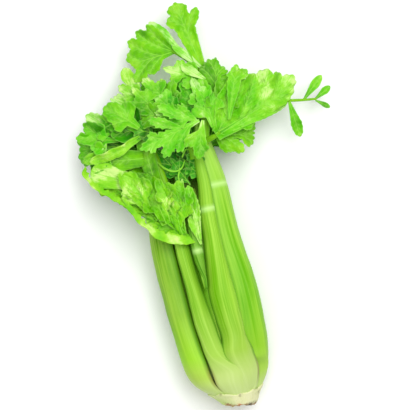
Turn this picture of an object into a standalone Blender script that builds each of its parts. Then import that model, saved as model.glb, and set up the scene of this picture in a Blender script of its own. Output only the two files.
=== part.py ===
"""A head of celery lying on its side.

The head lies along +Y, with its cut end towards -Y, on the surface z = 0. A short crown holds an outer
ring of stalks, an inner ring and a heart. Each stalk fills a cell of the bundle: a span of angles about
the bundle's axis, and a depth below the bundle's outside. Leaf stems and leaf blades grow from the tops.

Sizes are in millimetres, and MM turns them into Blender's metres. Angles are in degrees about the
bundle's axis: 0 is the right-hand side (+X), 90 the top (+Z) and 180 the left.
"""

import math
from typing import NamedTuple

import bmesh
import bpy
import numpy as np
from mathutils import Vector
from mathutils.geometry import delaunay_2d_cdt

MM = 0.001
COLLECTION = "head_of_celery"

# The bundle's outline along the head: distance from the cut end, half width, half height, centre x and z.
BUNDLE = (
    (-3, 11.0, 11.0, -1.0, 33.0),
    (4, 19.0, 17.5, -3.0, 33.0),
    (12, 27.0, 23.5, -5.0, 33.0),
    (30, 37.5, 30.0, -7.5, 33.0),
    (50, 41.5, 32.5, -7.5, 33.0),
    (75, 43.5, 33.0, -8.0, 33.0),
    (100, 44.0, 33.0, -9.0, 33.0),
    (150, 42.0, 31.5, -12.5, 31.5),
    (200, 38.5, 29.0, -11.0, 30.0),
    (240, 30.0, 26.0, -9.0, 29.0),
)

# A stalk's section: points across its ribbed face, how fast its edges turn in, and how thin they get.
FACE_POINTS = 7
EDGE_POWER = 2.2
EDGE_THINNING = 0.6
CELL_GAP = 2.8

# The crown: distance from the cut end and radius, how much wider than high it is, and how far it leans.
CROWN_PROFILE = ((-3, 10), (-2, 11.2), (2.5, 12.4), (7, 13.8), (12, 14.6), (18, 12.2), (26, 8), (36, 3.5))
CROWN_CENTRE = (-2, 0, 33)
CROWN_WIDTH = 1.1
CROWN_LEAN = 9.5
CROWN_SIDES = 28

BLADE_THICKNESS = 1.0

STALK_GREEN = (0.42, 0.66, 0.10)
HEART_GREEN = (0.60, 0.76, 0.22)
CROWN_CREAM = (0.72, 0.70, 0.42)
LEAF_GREEN = (0.30, 0.62, 0.06)
STEM_GREEN = (0.45, 0.70, 0.16)


class Station(NamedTuple):
    """One ring of a stalk: its place along the head, its edges' angles, and its depth and thickness."""

    y: float
    left: float
    right: float
    outer: float  # share of the bundle's half width and height that the ribbed face reaches
    wall: float
    drop: float  # how far the edges turn in below the middle of the face


FRONT_LEFT = (
    Station(5, 119, 30, 1.0, 4.2, 1.0),
    Station(20, 117, 26, 1.0, 3.4, 1.5),
    Station(30, 115, 30, 1.0, 3.0, 2.2),
    Station(36, 115, 54.4, 1.0, 2.7, 2.3),
    Station(42, 116, 79.4, 1.0, 3.0, 2.4),
    Station(49, 119, 90.4, 1.0, 4.9, 3.6),
    Station(60, 122, 93, 1.0, 6.5, 5.5),
    Station(75, 125, 95, 1.0, 7.5, 6.5),
    Station(100, 124.5, 96, 1.0, 7.5, 7.0),
    Station(150, 123, 99, 0.98, 6.5, 6.0),
    Station(172, 122, 101, 0.95, 5.5, 4.5),
    Station(186, 120, 106, 0.92, 5.0, 3.0),
)
FRONT_RIGHT = (
    Station(19, 96, 50, 0.83, 3.6, 1.0),
    Station(30, 94, 51, 0.85, 4.2, 1.5),
    Station(36, 92, 51, 0.855, 5.0, 2.2),
    Station(42, 88, 50.5, 0.855, 6.0, 3.8),
    Station(49, 86.5, 50, 0.95, 7.0, 6.0),
    Station(60, 89, 50, 1.0, 8.0, 7.0),
    Station(75, 91, 50, 1.0, 8.5, 7.5),
    Station(100, 92, 49.5, 1.0, 8.5, 8.0),
    Station(125, 84, 49.5, 1.0, 8.0, 7.0),
    Station(150, 77, 50, 1.0, 7.0, 6.0),
    Station(176, 78, 53, 1.0, 6.6, 4.5),
    Station(196, 78, 54, 0.98, 5.8, 4.0),
    Station(226, 78, 58, 0.94, 4.8, 3.0),
)
INNER_FRONT = (
    Station(106, 95.2, 91.5, 0.84, 3.0, 0.5),
    Station(115, 95.3, 88.6, 0.90, 4.0, 1.5),
    Station(125, 96.0, 86.0, 0.95, 5.0, 2.5),
    Station(138, 96.6, 82.6, 0.97, 5.0, 3.0),
    Station(148, 96.5, 82.5, 0.96, 4.5, 2.5),
    Station(158, 95.5, 84.5, 0.94, 4.0, 2.0),
)
RIGHT = (
    Station(5, 27, -30, 1.0, 4.2, 1.0),
    Station(20, 23, -30, 1.0, 4.6, 1.5),
    Station(30, 27, -29, 1.0, 5.0, 2.0),
    Station(36, 45, -27, 1.0, 5.5, 3.0),
    Station(42, 47, -24, 1.0, 6.5, 4.5),
    Station(49, 47, -20, 1.0, 7.0, 6.0),
    Station(60, 47, -16, 1.0, 8.0, 7.0),
    Station(75, 47, -13, 1.0, 8.5, 7.5),
    Station(100, 46.5, -12, 1.0, 8.5, 7.5),
    Station(150, 47, -11, 1.0, 7.5, 6.5),
    Station(176, 49.5, -10, 1.0, 7.0, 5.5),
    Station(196, 51, -8, 1.0, 6.5, 5.0),
    Station(216, 53, -4, 0.98, 5.6, 4.0),
    Station(238, 56, 4, 0.95, 4.6, 3.0),
)
LEFT = (
    Station(5, 198, 122, 1.0, 4.2, 1.0),
    Station(20, 199, 120, 1.0, 5.0, 2.0),
    Station(30, 197, 118, 1.0, 6.0, 3.0),
    Station(42, 194, 120.5, 1.0, 6.5, 5.0),
    Station(52, 191, 124, 1.0, 7.5, 6.0),
    Station(75, 187, 128.5, 1.0, 8.0, 7.5),
    Station(100, 186, 129.5, 1.0, 8.0, 7.5),
    Station(150, 186, 129, 1.0, 7.0, 6.5),
    Station(172, 182, 132, 0.98, 6.0, 5.0),
    Station(188, 176, 141, 0.95, 5.0, 3.0),
)

UNDER_COUNT = 4
UNDER_NAMES = ("stalk_under_left", "stalk_under_left_inner", "stalk_under_right_inner", "stalk_under_right")
UNDER_TOPS = (205, 226, 232, 218)
INNER_NAMES = ("stalk_inner_top", "stalk_inner_left", "stalk_inner_bottom", "stalk_inner_right")
INNER_TOPS = (180, 214, 216, 220)
INNER_OUTSIDE = 0.60
HEART_NAMES = ("heart_stalk_left", "heart_stalk_right")
HEART_TOPS = (190, 176)
HEART_OUTSIDE = 0.26


class Stem(NamedTuple):
    """A leaf stem: the points it runs through, and its radius at each end."""

    name: str
    route: tuple
    thick: float
    thin: float


STEMS = (
    Stem("leaf_stem_left", ((-42, 190, 48), (-46, 214, 50), (-45, 240, 51)), 3.2, 2.0),
    Stem("leaf_stem_left_top", ((-27, 188, 54), (-30, 220, 48), (-36, 258, 48), (-38, 288, 44)), 3.4, 1.6),
    Stem("leaf_stem_centre", ((2, 229, 52), (1, 242, 55), (-2, 259, 59)), 2.8, 2.0),
    Stem("leaf_stem_right_main", ((14, 238, 49), (22, 262, 52), (29, 284, 49), (27, 299, 47)), 3.6, 1.8),
    Stem("leaf_stem_front", ((10, 237, 56), (13, 246, 64), (15, 251, 68.5)), 2.4, 1.6),
    Stem("leaf_stem_right", ((18.5, 237, 53), (24, 238, 58)), 2.6, 2.0),
    Stem("leaf_stem_fan", ((23, 301, 45), (14, 312, 44), (5, 321, 43)), 1.8, 1.4),
    Stem("leaf_stem_sprig", ((97, 257, 33), (109, 254.5, 31), (121, 253, 29)), 1.6, 1.0),
)


class Blade(NamedTuple):
    """A leaf blade: its two ends, its width, lobes on each side, how deep the gaps between them cut in,
    how far its face rolls over from facing up, and how high its middle arches and its edges lift."""

    name: str
    base: tuple
    tip: tuple
    width: float
    lobes: int
    notch: float
    roll: float = 0.0
    arch: float = 0.0
    lift: float = 0.0


BLADES = (
    Blade("leaf_apron", (-13, 146, 66), (-82, 240, 50), 56, 4, 0.18, -6, 5, -4),
    Blade("leaf_inner_frill", (-7.5, 162, 61.5), (-8.5, 194, 60), 9, 3, 0.30, 0, 1, 0),
    Blade("leaf_far_left", (-47, 243, 46), (-96, 259, 30), 50, 3, 0.35, 6, 5, 0),
    Blade("leaf_left_curl", (-38, 259, 55), (-65, 287, 46), 32, 2, 0.30, -20, 5, 7),
    Blade("leaf_left_top", (-38, 290, 45), (-52, 297, 40), 18, 2, 0.35, 0, 2, 0),
    Blade("leaf_left_bud", (-37, 291, 41), (-41, 313, 36), 11, 1, 0.35, 0, 2, 0),
    Blade("leaf_centre_left", (-3, 262, 60), (-40, 292, 55), 40, 3, 0.40, 0, 4, 3),
    Blade("leaf_front", (14, 254.5, 69.5), (-42, 242, 66), 50, 3, 0.55, 0, 3, -2),
    Blade("leaf_front_lobe", (18, 248.5, 73.5), (10, 225, 71.5), 22, 2, 0.45, 0, 2, 0),
    Blade("leaf_middle", (24, 296, 52), (-8, 316, 54), 26, 3, 0.40, 0, 3, -3),
    Blade("leaf_top_centre", (31, 264, 55), (42, 306, 46), 24, 3, 0.42, 0, 3, 0),
    Blade("leaf_shadow_left", (-11, 215, 42), (-25, 242, 38), 18, 3, 0.45, 0, 2, 2),
    Blade("leaf_shadow_right", (-1, 217, 41), (-2, 246, 40), 12, 3, 0.45, 0, 2, 2),
    Blade("leaf_right", (25, 243, 60), (104, 266, 38), 54, 4, 0.38, 0, 7, 3),
    Blade("leaf_right_lobe", (44, 258, 66), (57, 294, 60), 20, 2, 0.30, 0, 2, 0),
    Blade("leaf_right_low", (27, 236, 55), (59, 228, 44), 24, 3, 0.30, 0, 3, -2),
    Blade("leaf_top", (27, 302, 46), (17, 364, 34), 30, 3, 0.55, 0, 4, 3),
    Blade("leaf_fan", (4, 324, 43), (-34, 336, 34), 42, 3, 0.30, 0, 4, -3),
    Blade("leaf_fan_fold", (6, 325, 38), (-13, 350, 30), 14, 2, 0.2, 25, 2, 3),
    Blade("sprig_leaf_up", (116, 256, 31), (130, 272, 27), 9, 2, 0.25, 0, 1, 1),
    Blade("sprig_leaf_end", (123, 254, 28), (137, 261, 24), 9, 2, 0.25, 0, 1, 1),
    Blade("sprig_leaf_low", (123, 251, 28), (133, 243, 24), 6, 1, 0.25, 0, 1, 1),
    Blade("sprig_leaf_down", (99, 253, 31), (100, 224, 24), 10, 2, 0.25, 0, 2, 1),
    Blade("leaf_mid_left", (-37, 222, 36), (-80, 268, 26), 36, 3, 0.4, 0, 4, 3),
    Blade("leaf_mid_top", (6, 232, 34), (-4, 312, 26), 38, 4, 0.4, 0, 5, 3),
    Blade("leaf_mid_right", (18, 240, 30), (66, 284, 22), 38, 3, 0.4, 0, 5, 3),
    Blade("leaf_under_left", (-30, 208, 12), (-84, 262, 3), 44, 3, 0.4, 0, 6, -3),
    Blade("leaf_under_middle", (-18, 230, 9), (-28, 318, 3), 36, 4, 0.4, 0, 6, -3),
    Blade("leaf_under_right", (8, 238, 9), (36, 318, 3), 36, 4, 0.4, 0, 6, -3),
    Blade("leaf_under_far_right", (16, 222, 13), (82, 252, 3), 42, 3, 0.4, 0, 6, -3),
)


def smooth_row(rows, at):
    """The row of numbers at a place between the given rows, on a smooth curve through them."""
    rows = np.array(rows, float)
    places, values = rows[:, 0], rows[:, 1:]
    slopes = np.gradient(values, places, axis=0)
    at = min(max(at, places[0]), places[-1])
    i = min(int(np.searchsorted(places, at, side="right")) - 1, len(places) - 2)
    step = places[i + 1] - places[i]
    t = (at - places[i]) / step
    return (
        (2 * t**3 - 3 * t**2 + 1) * values[i]
        + (t**3 - 2 * t**2 + t) * step * slopes[i]
        + (3 * t**2 - 2 * t**3) * values[i + 1]
        + (t**3 - t**2) * step * slopes[i + 1]
    )


def smooth_route(points, count):
    """Evenly numbered points on a smooth curve through the given ones."""
    keys = [(k, *p) for k, p in enumerate(points)]
    return [Vector(smooth_row(keys, s)) for s in np.linspace(0, len(points) - 1, count)]


def stalk_ring(station):
    """A stalk's section: along its ribbed face from left to right, then back along its hollow face."""
    half_x, half_z, centre_x, centre_z = smooth_row(BUNDLE, station.y)
    face, hollow = [], []
    for share in np.linspace(-1, 1, FACE_POINTS):
        turn = math.radians(station.left + (station.right - station.left) * (share + 1) / 2)
        rim = Vector((half_x * math.cos(turn), 0, half_z * math.sin(turn))) * station.outer
        inward = -rim.normalized()
        edge = abs(share) ** EDGE_POWER
        outside = Vector((centre_x, station.y, centre_z)) + rim + inward * station.drop * edge
        face.append(outside)
        hollow.append(outside + inward * station.wall * (1 - EDGE_THINNING * edge))
    return face + hollow[::-1]


def loft(name, rings):
    """A closed skin over rings that all have as many points."""
    mesh = bpy.data.meshes.new(name)
    bm = bmesh.new()
    made = [[bm.verts.new(p * MM) for p in ring] for ring in rings]
    for low, high in zip(made, made[1:]):
        for k in range(len(low)):
            j = (k + 1) % len(low)
            bm.faces.new((low[k], low[j], high[j], high[k]))
    bm.faces.new(made[0][::-1])
    bm.faces.new(made[-1])
    bmesh.ops.triangulate(bm, faces=[f for f in bm.faces if len(f.verts) > 4])
    if bm.calc_volume(signed=True) < 0:
        bmesh.ops.reverse_faces(bm, faces=bm.faces)
    bm.to_mesh(mesh)
    bm.free()
    return mesh


def material(name, colour, roughness=0.45):
    made = bpy.data.materials.new(name)
    made.use_nodes = True
    shader = made.node_tree.nodes["Principled BSDF"]
    shader.inputs["Base Color"].default_value = (*colour, 1)
    shader.inputs["Roughness"].default_value = roughness
    return made


def place(name, data, colour, collection):
    """Adds an object with a material of its own."""
    obj = bpy.data.objects.new(name, data)
    obj.data.materials.append(material(name, colour))
    collection.objects.link(obj)
    return obj


def make_stalk(name, stations, colour, collection):
    mesh = loft(name, [stalk_ring(s) for s in stations])
    obj = place(name, mesh, colour, collection)
    mesh.shade_smooth()
    mesh.set_sharp_from_angle(angle=math.radians(50))
    return obj


def edges_at(stations, y):
    """A stalk's left and right angles at any distance from the cut end."""
    row = smooth_row([s[:3] for s in stations], y)
    return row[0], row[1]


def under_stations(index):
    """One of the stalks that the head lies on. They share the angles that the side stalks leave free."""
    top = UNDER_TOPS[index]
    stations = []
    for y in (5, 12, 20, 30, 42, 56, 75, 100, 150, 180, top):
        start = edges_at(LEFT, min(y, 150))[0]
        end = edges_at(RIGHT, min(y, 150))[1] + 360
        cell = (end - start) / UNDER_COUNT
        left = start + cell * index + CELL_GAP / 2
        right = start + cell * (index + 1) - CELL_GAP / 2
        grown = min(1, max(0, (y - 5) / 60))
        neck = max(0, (y - 150) / (top - 150))
        middle, half = (left + right) / 2, (right - left) / 2 * (1 - 0.45 * neck)
        stations.append(
            Station(
                y,
                middle - half,
                middle + half,
                1.0 - 0.05 * neck,
                4.2 + 3.8 * grown - 3.4 * neck,
                1.0 + 5.5 * grown - 3.5 * neck,
            )
        )
    return stations


def inner_stations(index, names, tops, outside, start, wall, turn):
    """One of the stalks inside the outer ring, spaced evenly about the axis."""
    span = 360 / len(names)
    top = tops[index]
    middle = turn + span * index
    stations = []
    for y in (start, start + 14, 60, 100, 150, 180, top):
        grown = min(1, (y - start) / 50)
        neck = max(0, (y - 150) / (top - 150))
        half = (span / 2 - CELL_GAP - 3) * (1 - 0.35 * neck)
        drop = (0.12 + 0.16 * grown) * outside * 33 * (1 - 0.5 * neck)
        thick = wall * (0.75 + 0.25 * grown) * (1 - 0.3 * neck)
        stations.append(Station(y, middle + half, middle - half, outside, thick, drop))
    return stations


def make_crown(collection):
    """The short stem that the stalks grow from, turned about its axis and cut flat at its root end."""
    ends = (CROWN_PROFILE[-1][0], CROWN_PROFILE[0][0])
    outline = [(ends[0], 0), *reversed(CROWN_PROFILE), (ends[1], 0)]
    mesh = bpy.data.meshes.new("crown")
    edges = [(k, k + 1) for k in range(len(outline) - 1)]
    mesh.from_pydata([(radius * MM, 0, along * MM) for along, radius in outline], edges, [])
    crown = place("crown", mesh, CROWN_CREAM, collection)
    crown.location = Vector(CROWN_CENTRE) * MM
    crown.rotation_euler = (math.radians(-90), 0, math.radians(CROWN_LEAN))
    crown.scale = (CROWN_WIDTH, 1, 1)
    turned = crown.modifiers.new("turned", "SCREW")
    turned.steps = turned.render_steps = CROWN_SIDES
    turned.use_merge_vertices = True
    turned.merge_threshold = 0.0001
    turned.use_smooth_shade = True


def make_stem(stem, collection):
    """A tapering tube through the stem's points."""
    points = smooth_route(stem.route, 3 * len(stem.route))
    curve = bpy.data.curves.new(stem.name, "CURVE")
    curve.dimensions = "3D"
    curve.bevel_depth = MM
    curve.bevel_resolution = 2
    curve.use_fill_caps = True
    spline = curve.splines.new("POLY")
    spline.points.add(len(points) - 1)
    for k, point in enumerate(points):
        share = k / (len(points) - 1)
        spline.points[k].co = (*(point * MM), 1)
        spline.points[k].radius = stem.thick + (stem.thin - stem.thick) * share
    place(stem.name, curve, STEM_GREEN, collection)


def blade_outline(blade, length):
    """The blade laid flat: base at the origin, tip along +X, its lobes stepping outwards on both sides."""
    half = blade.width / 2
    side = [(0.0, 1.2)]
    for k in range(blade.lobes):
        along = 0.16 + 0.66 * (k + 0.5) / blade.lobes
        reach = half * math.sin(math.pi * along**0.85) ** 0.6
        step = 0.30 / blade.lobes
        gap = 0.16 + 0.66 * k / blade.lobes
        depth = reach * (1 - blade.notch) if k else 2.0
        side.append(((gap - 0.04) * length, max(2.0, depth)))
        side.append(((along - step * 0.4) * length, reach * 0.94))
        side.append(((along + step) * length, reach))
    side.append((0.84 * length, half * 0.55 * (1 - blade.notch)))
    side.append((0.95 * length, half * 0.20))
    other = [(x, -y) for x, y in reversed(side)]
    return [*side, (length, 0.0), *other]


def inside(point, outline):
    """Whether a flat point lies within a flat outline."""
    x, y = point
    hit = False
    for (ax, ay), (bx, by) in zip(outline, outline[1:] + outline[:1]):
        if (ay > y) != (by > y) and x < ax + (bx - ax) * (y - ay) / (by - ay):
            hit = not hit
    return hit


def blade_points(blade, length):
    """The outline, and a few points inside it for the blade to bend at."""
    outline = blade_outline(blade, length)
    shrunk = [(length / 2 + (x - length / 2) * 0.88, y * 0.8) for x, y in outline]
    across = np.linspace(-0.3, 0.3, 3) * blade.width
    grid = [(x, y) for x in np.linspace(0.1, 0.9, 6) * length for y in across if inside((x, y), shrunk)]
    return outline, grid


def make_blade(blade, collection):
    """A thin lobed blade, bent by its arch and its lifted edges."""
    base, tip = Vector(blade.base), Vector(blade.tip)
    along = (tip - base).normalized()
    length = (tip - base).length
    level = Vector((0, 0, 1)).cross(along).normalized()
    upright = along.cross(level)
    roll = math.radians(blade.roll)
    across = level * math.cos(roll) + upright * math.sin(roll)
    normal = along.cross(across)
    outline, grid = blade_points(blade, length)
    rim = list(range(len(outline)))
    flat, _, faces, *_ = delaunay_2d_cdt([Vector(p) for p in outline + grid], [], [rim], 1, 1e-5)
    mesh = bpy.data.meshes.new(blade.name)
    points = []
    for x, y in flat:
        share = x / length
        height = blade.arch * 4 * share * (1 - share) + blade.lift * (2 * y / blade.width) ** 2
        points.append((base + along * x + across * y + normal * height) * MM)
    mesh.from_pydata(points, [], faces)
    obj = place(blade.name, mesh, LEAF_GREEN, collection)
    thick = obj.modifiers.new("thickness", "SOLIDIFY")
    thick.thickness = BLADE_THICKNESS * MM
    thick.offset = 0
    return obj


def centre_on_origin(collection):
    """Moves the head so that the middle of its footprint is the origin and its lowest point is at z = 0."""
    bpy.context.view_layer.update()
    graph = bpy.context.evaluated_depsgraph_get()
    corners = []
    for obj in collection.objects:
        shown = obj.evaluated_get(graph)
        mesh = shown.to_mesh()
        corners += [shown.matrix_world @ v.co for v in mesh.vertices]
        shown.to_mesh_clear()
    low = Vector([min(c[k] for c in corners) for k in range(3)])
    high = Vector([max(c[k] for c in corners) for k in range(3)])
    shift = Vector((-(low.x + high.x) / 2, -(low.y + high.y) / 2, -low.z))
    for obj in collection.objects:
        obj.location += shift


def main():
    for obj in list(bpy.data.objects):
        bpy.data.objects.remove(obj)
    collection = bpy.data.collections.new(COLLECTION)
    bpy.context.scene.collection.children.link(collection)

    make_crown(collection)
    make_stalk("stalk_front_left", FRONT_LEFT, STALK_GREEN, collection)
    make_stalk("stalk_front_right", FRONT_RIGHT, STALK_GREEN, collection)
    make_stalk("stalk_right", RIGHT, STALK_GREEN, collection)
    make_stalk("stalk_inner_front", INNER_FRONT, STALK_GREEN, collection)
    make_stalk("stalk_left", LEFT, STALK_GREEN, collection)
    for k, name in enumerate(UNDER_NAMES):
        make_stalk(name, under_stations(k), STALK_GREEN, collection)
    for k, name in enumerate(INNER_NAMES):
        stations = inner_stations(k, INNER_NAMES, INNER_TOPS, INNER_OUTSIDE, 24, 6.0, 80)
        make_stalk(name, stations, STALK_GREEN, collection)
    for k, name in enumerate(HEART_NAMES):
        stations = inner_stations(k, HEART_NAMES, HEART_TOPS, HEART_OUTSIDE, 40, 3.6, 200)
        make_stalk(name, stations, HEART_GREEN, collection)
    for stem in STEMS:
        make_stem(stem, collection)
    for blade in BLADES:
        make_blade(blade, collection)
    centre_on_origin(collection)


main()
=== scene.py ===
"""A head of celery lying on its side: ribbed stalks round a cut crown, with toothed, veined leaves.

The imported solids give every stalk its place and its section. This file draws each stalk again with its ribs,
its pale foot and its joint, and grows the leaves' lobes, teeth and veins where their plain plates are.
Lengths in the tables are in millimetres, and MM turns them into Blender's metres.
"""

import math
from typing import NamedTuple

import bmesh
import bpy
import numpy as np
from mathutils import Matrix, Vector, noise
from mathutils.geometry import delaunay_2d_cdt


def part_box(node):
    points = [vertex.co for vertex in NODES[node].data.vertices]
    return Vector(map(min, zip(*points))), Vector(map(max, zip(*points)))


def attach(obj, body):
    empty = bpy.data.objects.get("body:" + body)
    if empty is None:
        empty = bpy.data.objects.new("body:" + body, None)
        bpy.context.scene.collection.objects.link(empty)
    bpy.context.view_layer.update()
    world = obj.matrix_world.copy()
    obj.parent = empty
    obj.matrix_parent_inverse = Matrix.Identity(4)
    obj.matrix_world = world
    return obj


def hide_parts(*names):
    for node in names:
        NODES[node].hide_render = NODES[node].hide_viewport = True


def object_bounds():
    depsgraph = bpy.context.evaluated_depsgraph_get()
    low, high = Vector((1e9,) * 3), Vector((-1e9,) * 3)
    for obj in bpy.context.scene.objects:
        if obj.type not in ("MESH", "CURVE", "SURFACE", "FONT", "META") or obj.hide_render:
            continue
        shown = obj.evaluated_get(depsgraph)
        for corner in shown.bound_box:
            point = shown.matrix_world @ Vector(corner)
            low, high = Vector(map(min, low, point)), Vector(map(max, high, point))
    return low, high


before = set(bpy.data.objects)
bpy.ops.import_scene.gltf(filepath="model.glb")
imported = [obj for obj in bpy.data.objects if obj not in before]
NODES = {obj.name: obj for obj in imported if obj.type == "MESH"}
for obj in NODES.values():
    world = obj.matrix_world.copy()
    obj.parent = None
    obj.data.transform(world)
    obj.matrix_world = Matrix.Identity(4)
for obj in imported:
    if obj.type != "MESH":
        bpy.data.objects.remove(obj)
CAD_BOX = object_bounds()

MM = 0.001
# The tables below are drawn with the middle of the cut end as their origin. The head's lowest corner there:
DRAWN_LOW = Vector((-96.26, -4.77, 1.12))
SHIFT = CAD_BOX[0] / MM - DRAWN_LOW


def place(point):
    """A drawn point, in millimetres, in the head's frame."""
    return Vector(point) + SHIFT


def shade(*screen):
    """A colour given as red, green and blue screen values from 0 to 255."""
    return (*(c / 255 / 12.92 if c < 11 else ((c / 255 + 0.055) / 1.055) ** 2.4 for c in screen), 1)


# ---- node trees


class Value:
    """What a socket gives. Sums, differences and products of it add Math nodes."""

    def __init__(self, graph, socket):
        self.graph = graph
        self.socket = socket

    def math(self, operation, *others):
        return self.graph.node("ShaderNodeMath", {"operation": operation}, dict(enumerate((self, *others))))

    def __add__(self, other):
        return self.math("ADD", other)

    def __sub__(self, other):
        return self.math("SUBTRACT", other)

    def __rsub__(self, other):
        return self.graph.node("ShaderNodeMath", {"operation": "SUBTRACT"}, {0: other, 1: self})

    def __mul__(self, other):
        return self.math("MULTIPLY", other)

    def __truediv__(self, other):
        return self.math("DIVIDE", other)

    def __pow__(self, other):
        return self.math("POWER", other)

    __radd__ = __add__
    __rmul__ = __mul__

    def clip(self):
        return self.math("MAXIMUM", 0.0).math("MINIMUM", 1.0)


class Graph:
    """A tree of nodes, for a material or for geometry."""

    def __init__(self, tree):
        self.tree = tree

    def plug(self, value, socket):
        """Links a value to a socket, or sets a constant on it."""
        if isinstance(value, Value):
            self.tree.links.new(value.socket, socket)
        else:
            socket.default_value = value

    def node(self, kind, settings=None, sockets=None, output=0):
        made = self.tree.nodes.new(kind)
        for name, value in (settings or {}).items():
            setattr(made, name, value)
        for key, value in (sockets or {}).items():
            self.plug(value, made.inputs[key])
        return Value(self, made.outputs[output])

    def ramp(self, factor, places, colours):
        """A colour ramp with a colour at each place."""
        made = self.node("ShaderNodeValToRGB", {}, {0: factor})
        stops = made.socket.node.color_ramp.elements
        stops.remove(stops[0])
        stops[0].position, stops[0].color = places[0], colours[0]
        for position, colour in zip(places[1:], colours[1:]):
            stops.new(position).color = colour
        return made

    def mix(self, factor, first, second, blend="MIX"):
        settings = {"data_type": "RGBA", "blend_type": blend}
        return self.node("ShaderNodeMix", settings, {0: factor, 6: first, 7: second}, 2)

    def tint(self, base, amount, *screen):
        """A colour drawn towards a shade by an amount."""
        return self.mix(amount, base, shade(*screen))

    def vector(self, x, y, z):
        return self.node("ShaderNodeCombineXYZ", {}, {0: x, 1: y, 2: z})

    def attribute(self, name):
        return self.node("ShaderNodeAttribute", {"attribute_name": name}, {}, 2)

    def attributes(self, names):
        return [self.attribute(name) for name in names.split()]

    def noise(self, where, scale, detail=3.0):
        return self.node("ShaderNodeTexNoise", {}, {"Vector": where, "Scale": scale, "Detail": detail})


class Finish(Graph):
    """A material."""

    def __init__(self, name):
        self.material = bpy.data.materials.new(name)
        self.material.use_nodes = True
        super().__init__(self.material.node_tree)
        self.shader = self.tree.nodes["Principled BSDF"]
        self.where = self.node("ShaderNodeTexCoord", output=3)

    def set(self, **inputs):
        for name, value in inputs.items():
            self.plug(value, self.shader.inputs[name.replace("_", " ")])

    def bump(self, height, distance, strength):
        return self.node("ShaderNodeBump", {}, {"Height": height, "Distance": distance, "Strength": strength})

    def fibre(self, share, scale):
        """Noise drawn out along the head."""
        where = self.node("ShaderNodeMapping", {}, {"Vector": self.where, "Scale": (1, share, 1)})
        return self.noise(where, scale)


# ---- finishes


GLOSS = 0.14
RIBS = 6.0
# A skin's colours run from the cut up to this height in millimetres, and change at these shares of it.
SKIN_LENGTH = 230
SKIN_STOPS = (0.0, 0.05, 0.13, 0.22, 0.42, 0.80, 1.0)
PLATE = (226, 232, 196)
FOOT = (213, 227, 166)
# Beyond this share of a stalk's half-width, painted shade darkens its edges.
EDGE_SHADE_FROM = 0.88
# A blade's colours from dark to pale, in a bluish and in a yellow green.
TONES = (0.0, 0.3, 0.6, 0.85, 1.0)
COOL = ((0, 84, 0), (20, 146, 0), (74, 190, 4), (120, 212, 44), (196, 238, 150))
GOLDEN = ((30, 92, 0), (76, 152, 0), (114, 196, 0), (154, 216, 40), (206, 238, 120))


def stalk_finish(name, *colours):
    """Stalk skin: cream at the foot, greener upwards, with long strings, painted shade on its edges and a pale
    joint.
    """
    paint = Finish(name)
    along, across, outside, band, ribbed = paint.attributes("along across outside band ribbed")
    broad = paint.noise(paint.where, 22.0)
    foot, low, middle, top = colours
    shades = [shade(*colour) for colour in (PLATE, PLATE, foot, low, middle, middle, top)]
    base = paint.ramp(along / SKIN_LENGTH + (broad - 0.5) * 0.08, SKIN_STOPS, shades)
    strings = paint.noise(paint.vector(across * 11, along * 0.010, outside * 3), 1.0, 4.0)
    fine = paint.noise(paint.vector(across * 40, along * 0.025, 2.0), 1.0, 2.0)
    wide = paint.noise(paint.vector(across * 2.6, along * 0.007, 5.0), 1.0, 2.0)
    # Ribs are a little paler and the grooves between them darker: partly the ribs' own colour, partly painted
    # shade in the grooves.
    ridge = (across * (math.pi * RIBS)).math("COSINE").math("ABSOLUTE")
    light = (strings - 0.5) * 1.6 + (fine - 0.5) * 0.6 + (wide - 0.5) * 2.0 + (ridge - 0.6) * 0.10 * outside
    light = light * (ribbed * 0.85 + 0.15) + 0.5
    darker = paint.mix(1.0, base, shade(196, 220, 120), "MULTIPLY")
    lighter = paint.tint(base, 0.34, 202, 236, 110)
    tinted = paint.mix(light.clip(), darker, lighter)
    hollow = paint.tint(tinted, 0.25, 170, 216, 60)
    tinted = paint.mix(outside, hollow, tinted)
    tinted = paint.tint(tinted, (band * 0.75).clip(), 206, 246, 150)
    # Painted shade darkens the edges where the stalks meet: dark green higher up, turning dark brown near the
    # foot.
    edge = ((across.math("ABSOLUTE") - EDGE_SHADE_FROM) * 9).clip()
    deep = paint.mix(((46 - along) / 12).clip(), shade(70, 140, 2), shade(120, 104, 40))
    tinted = paint.mix(edge * 0.6 * ((along - 16) / 10).clip(), tinted, deep)
    grain = paint.noise(paint.where, 900.0, 2.0)
    height = strings * 0.6 + fine * 0.3 + grain * 0.1
    bump = paint.bump(height, 0.0006, 0.4)
    paint.set(Base_Color=tinted, Roughness=0.34 + strings * 0.2, Specular_IOR_Level=GLOSS, Normal=bump)
    return paint.material


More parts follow.
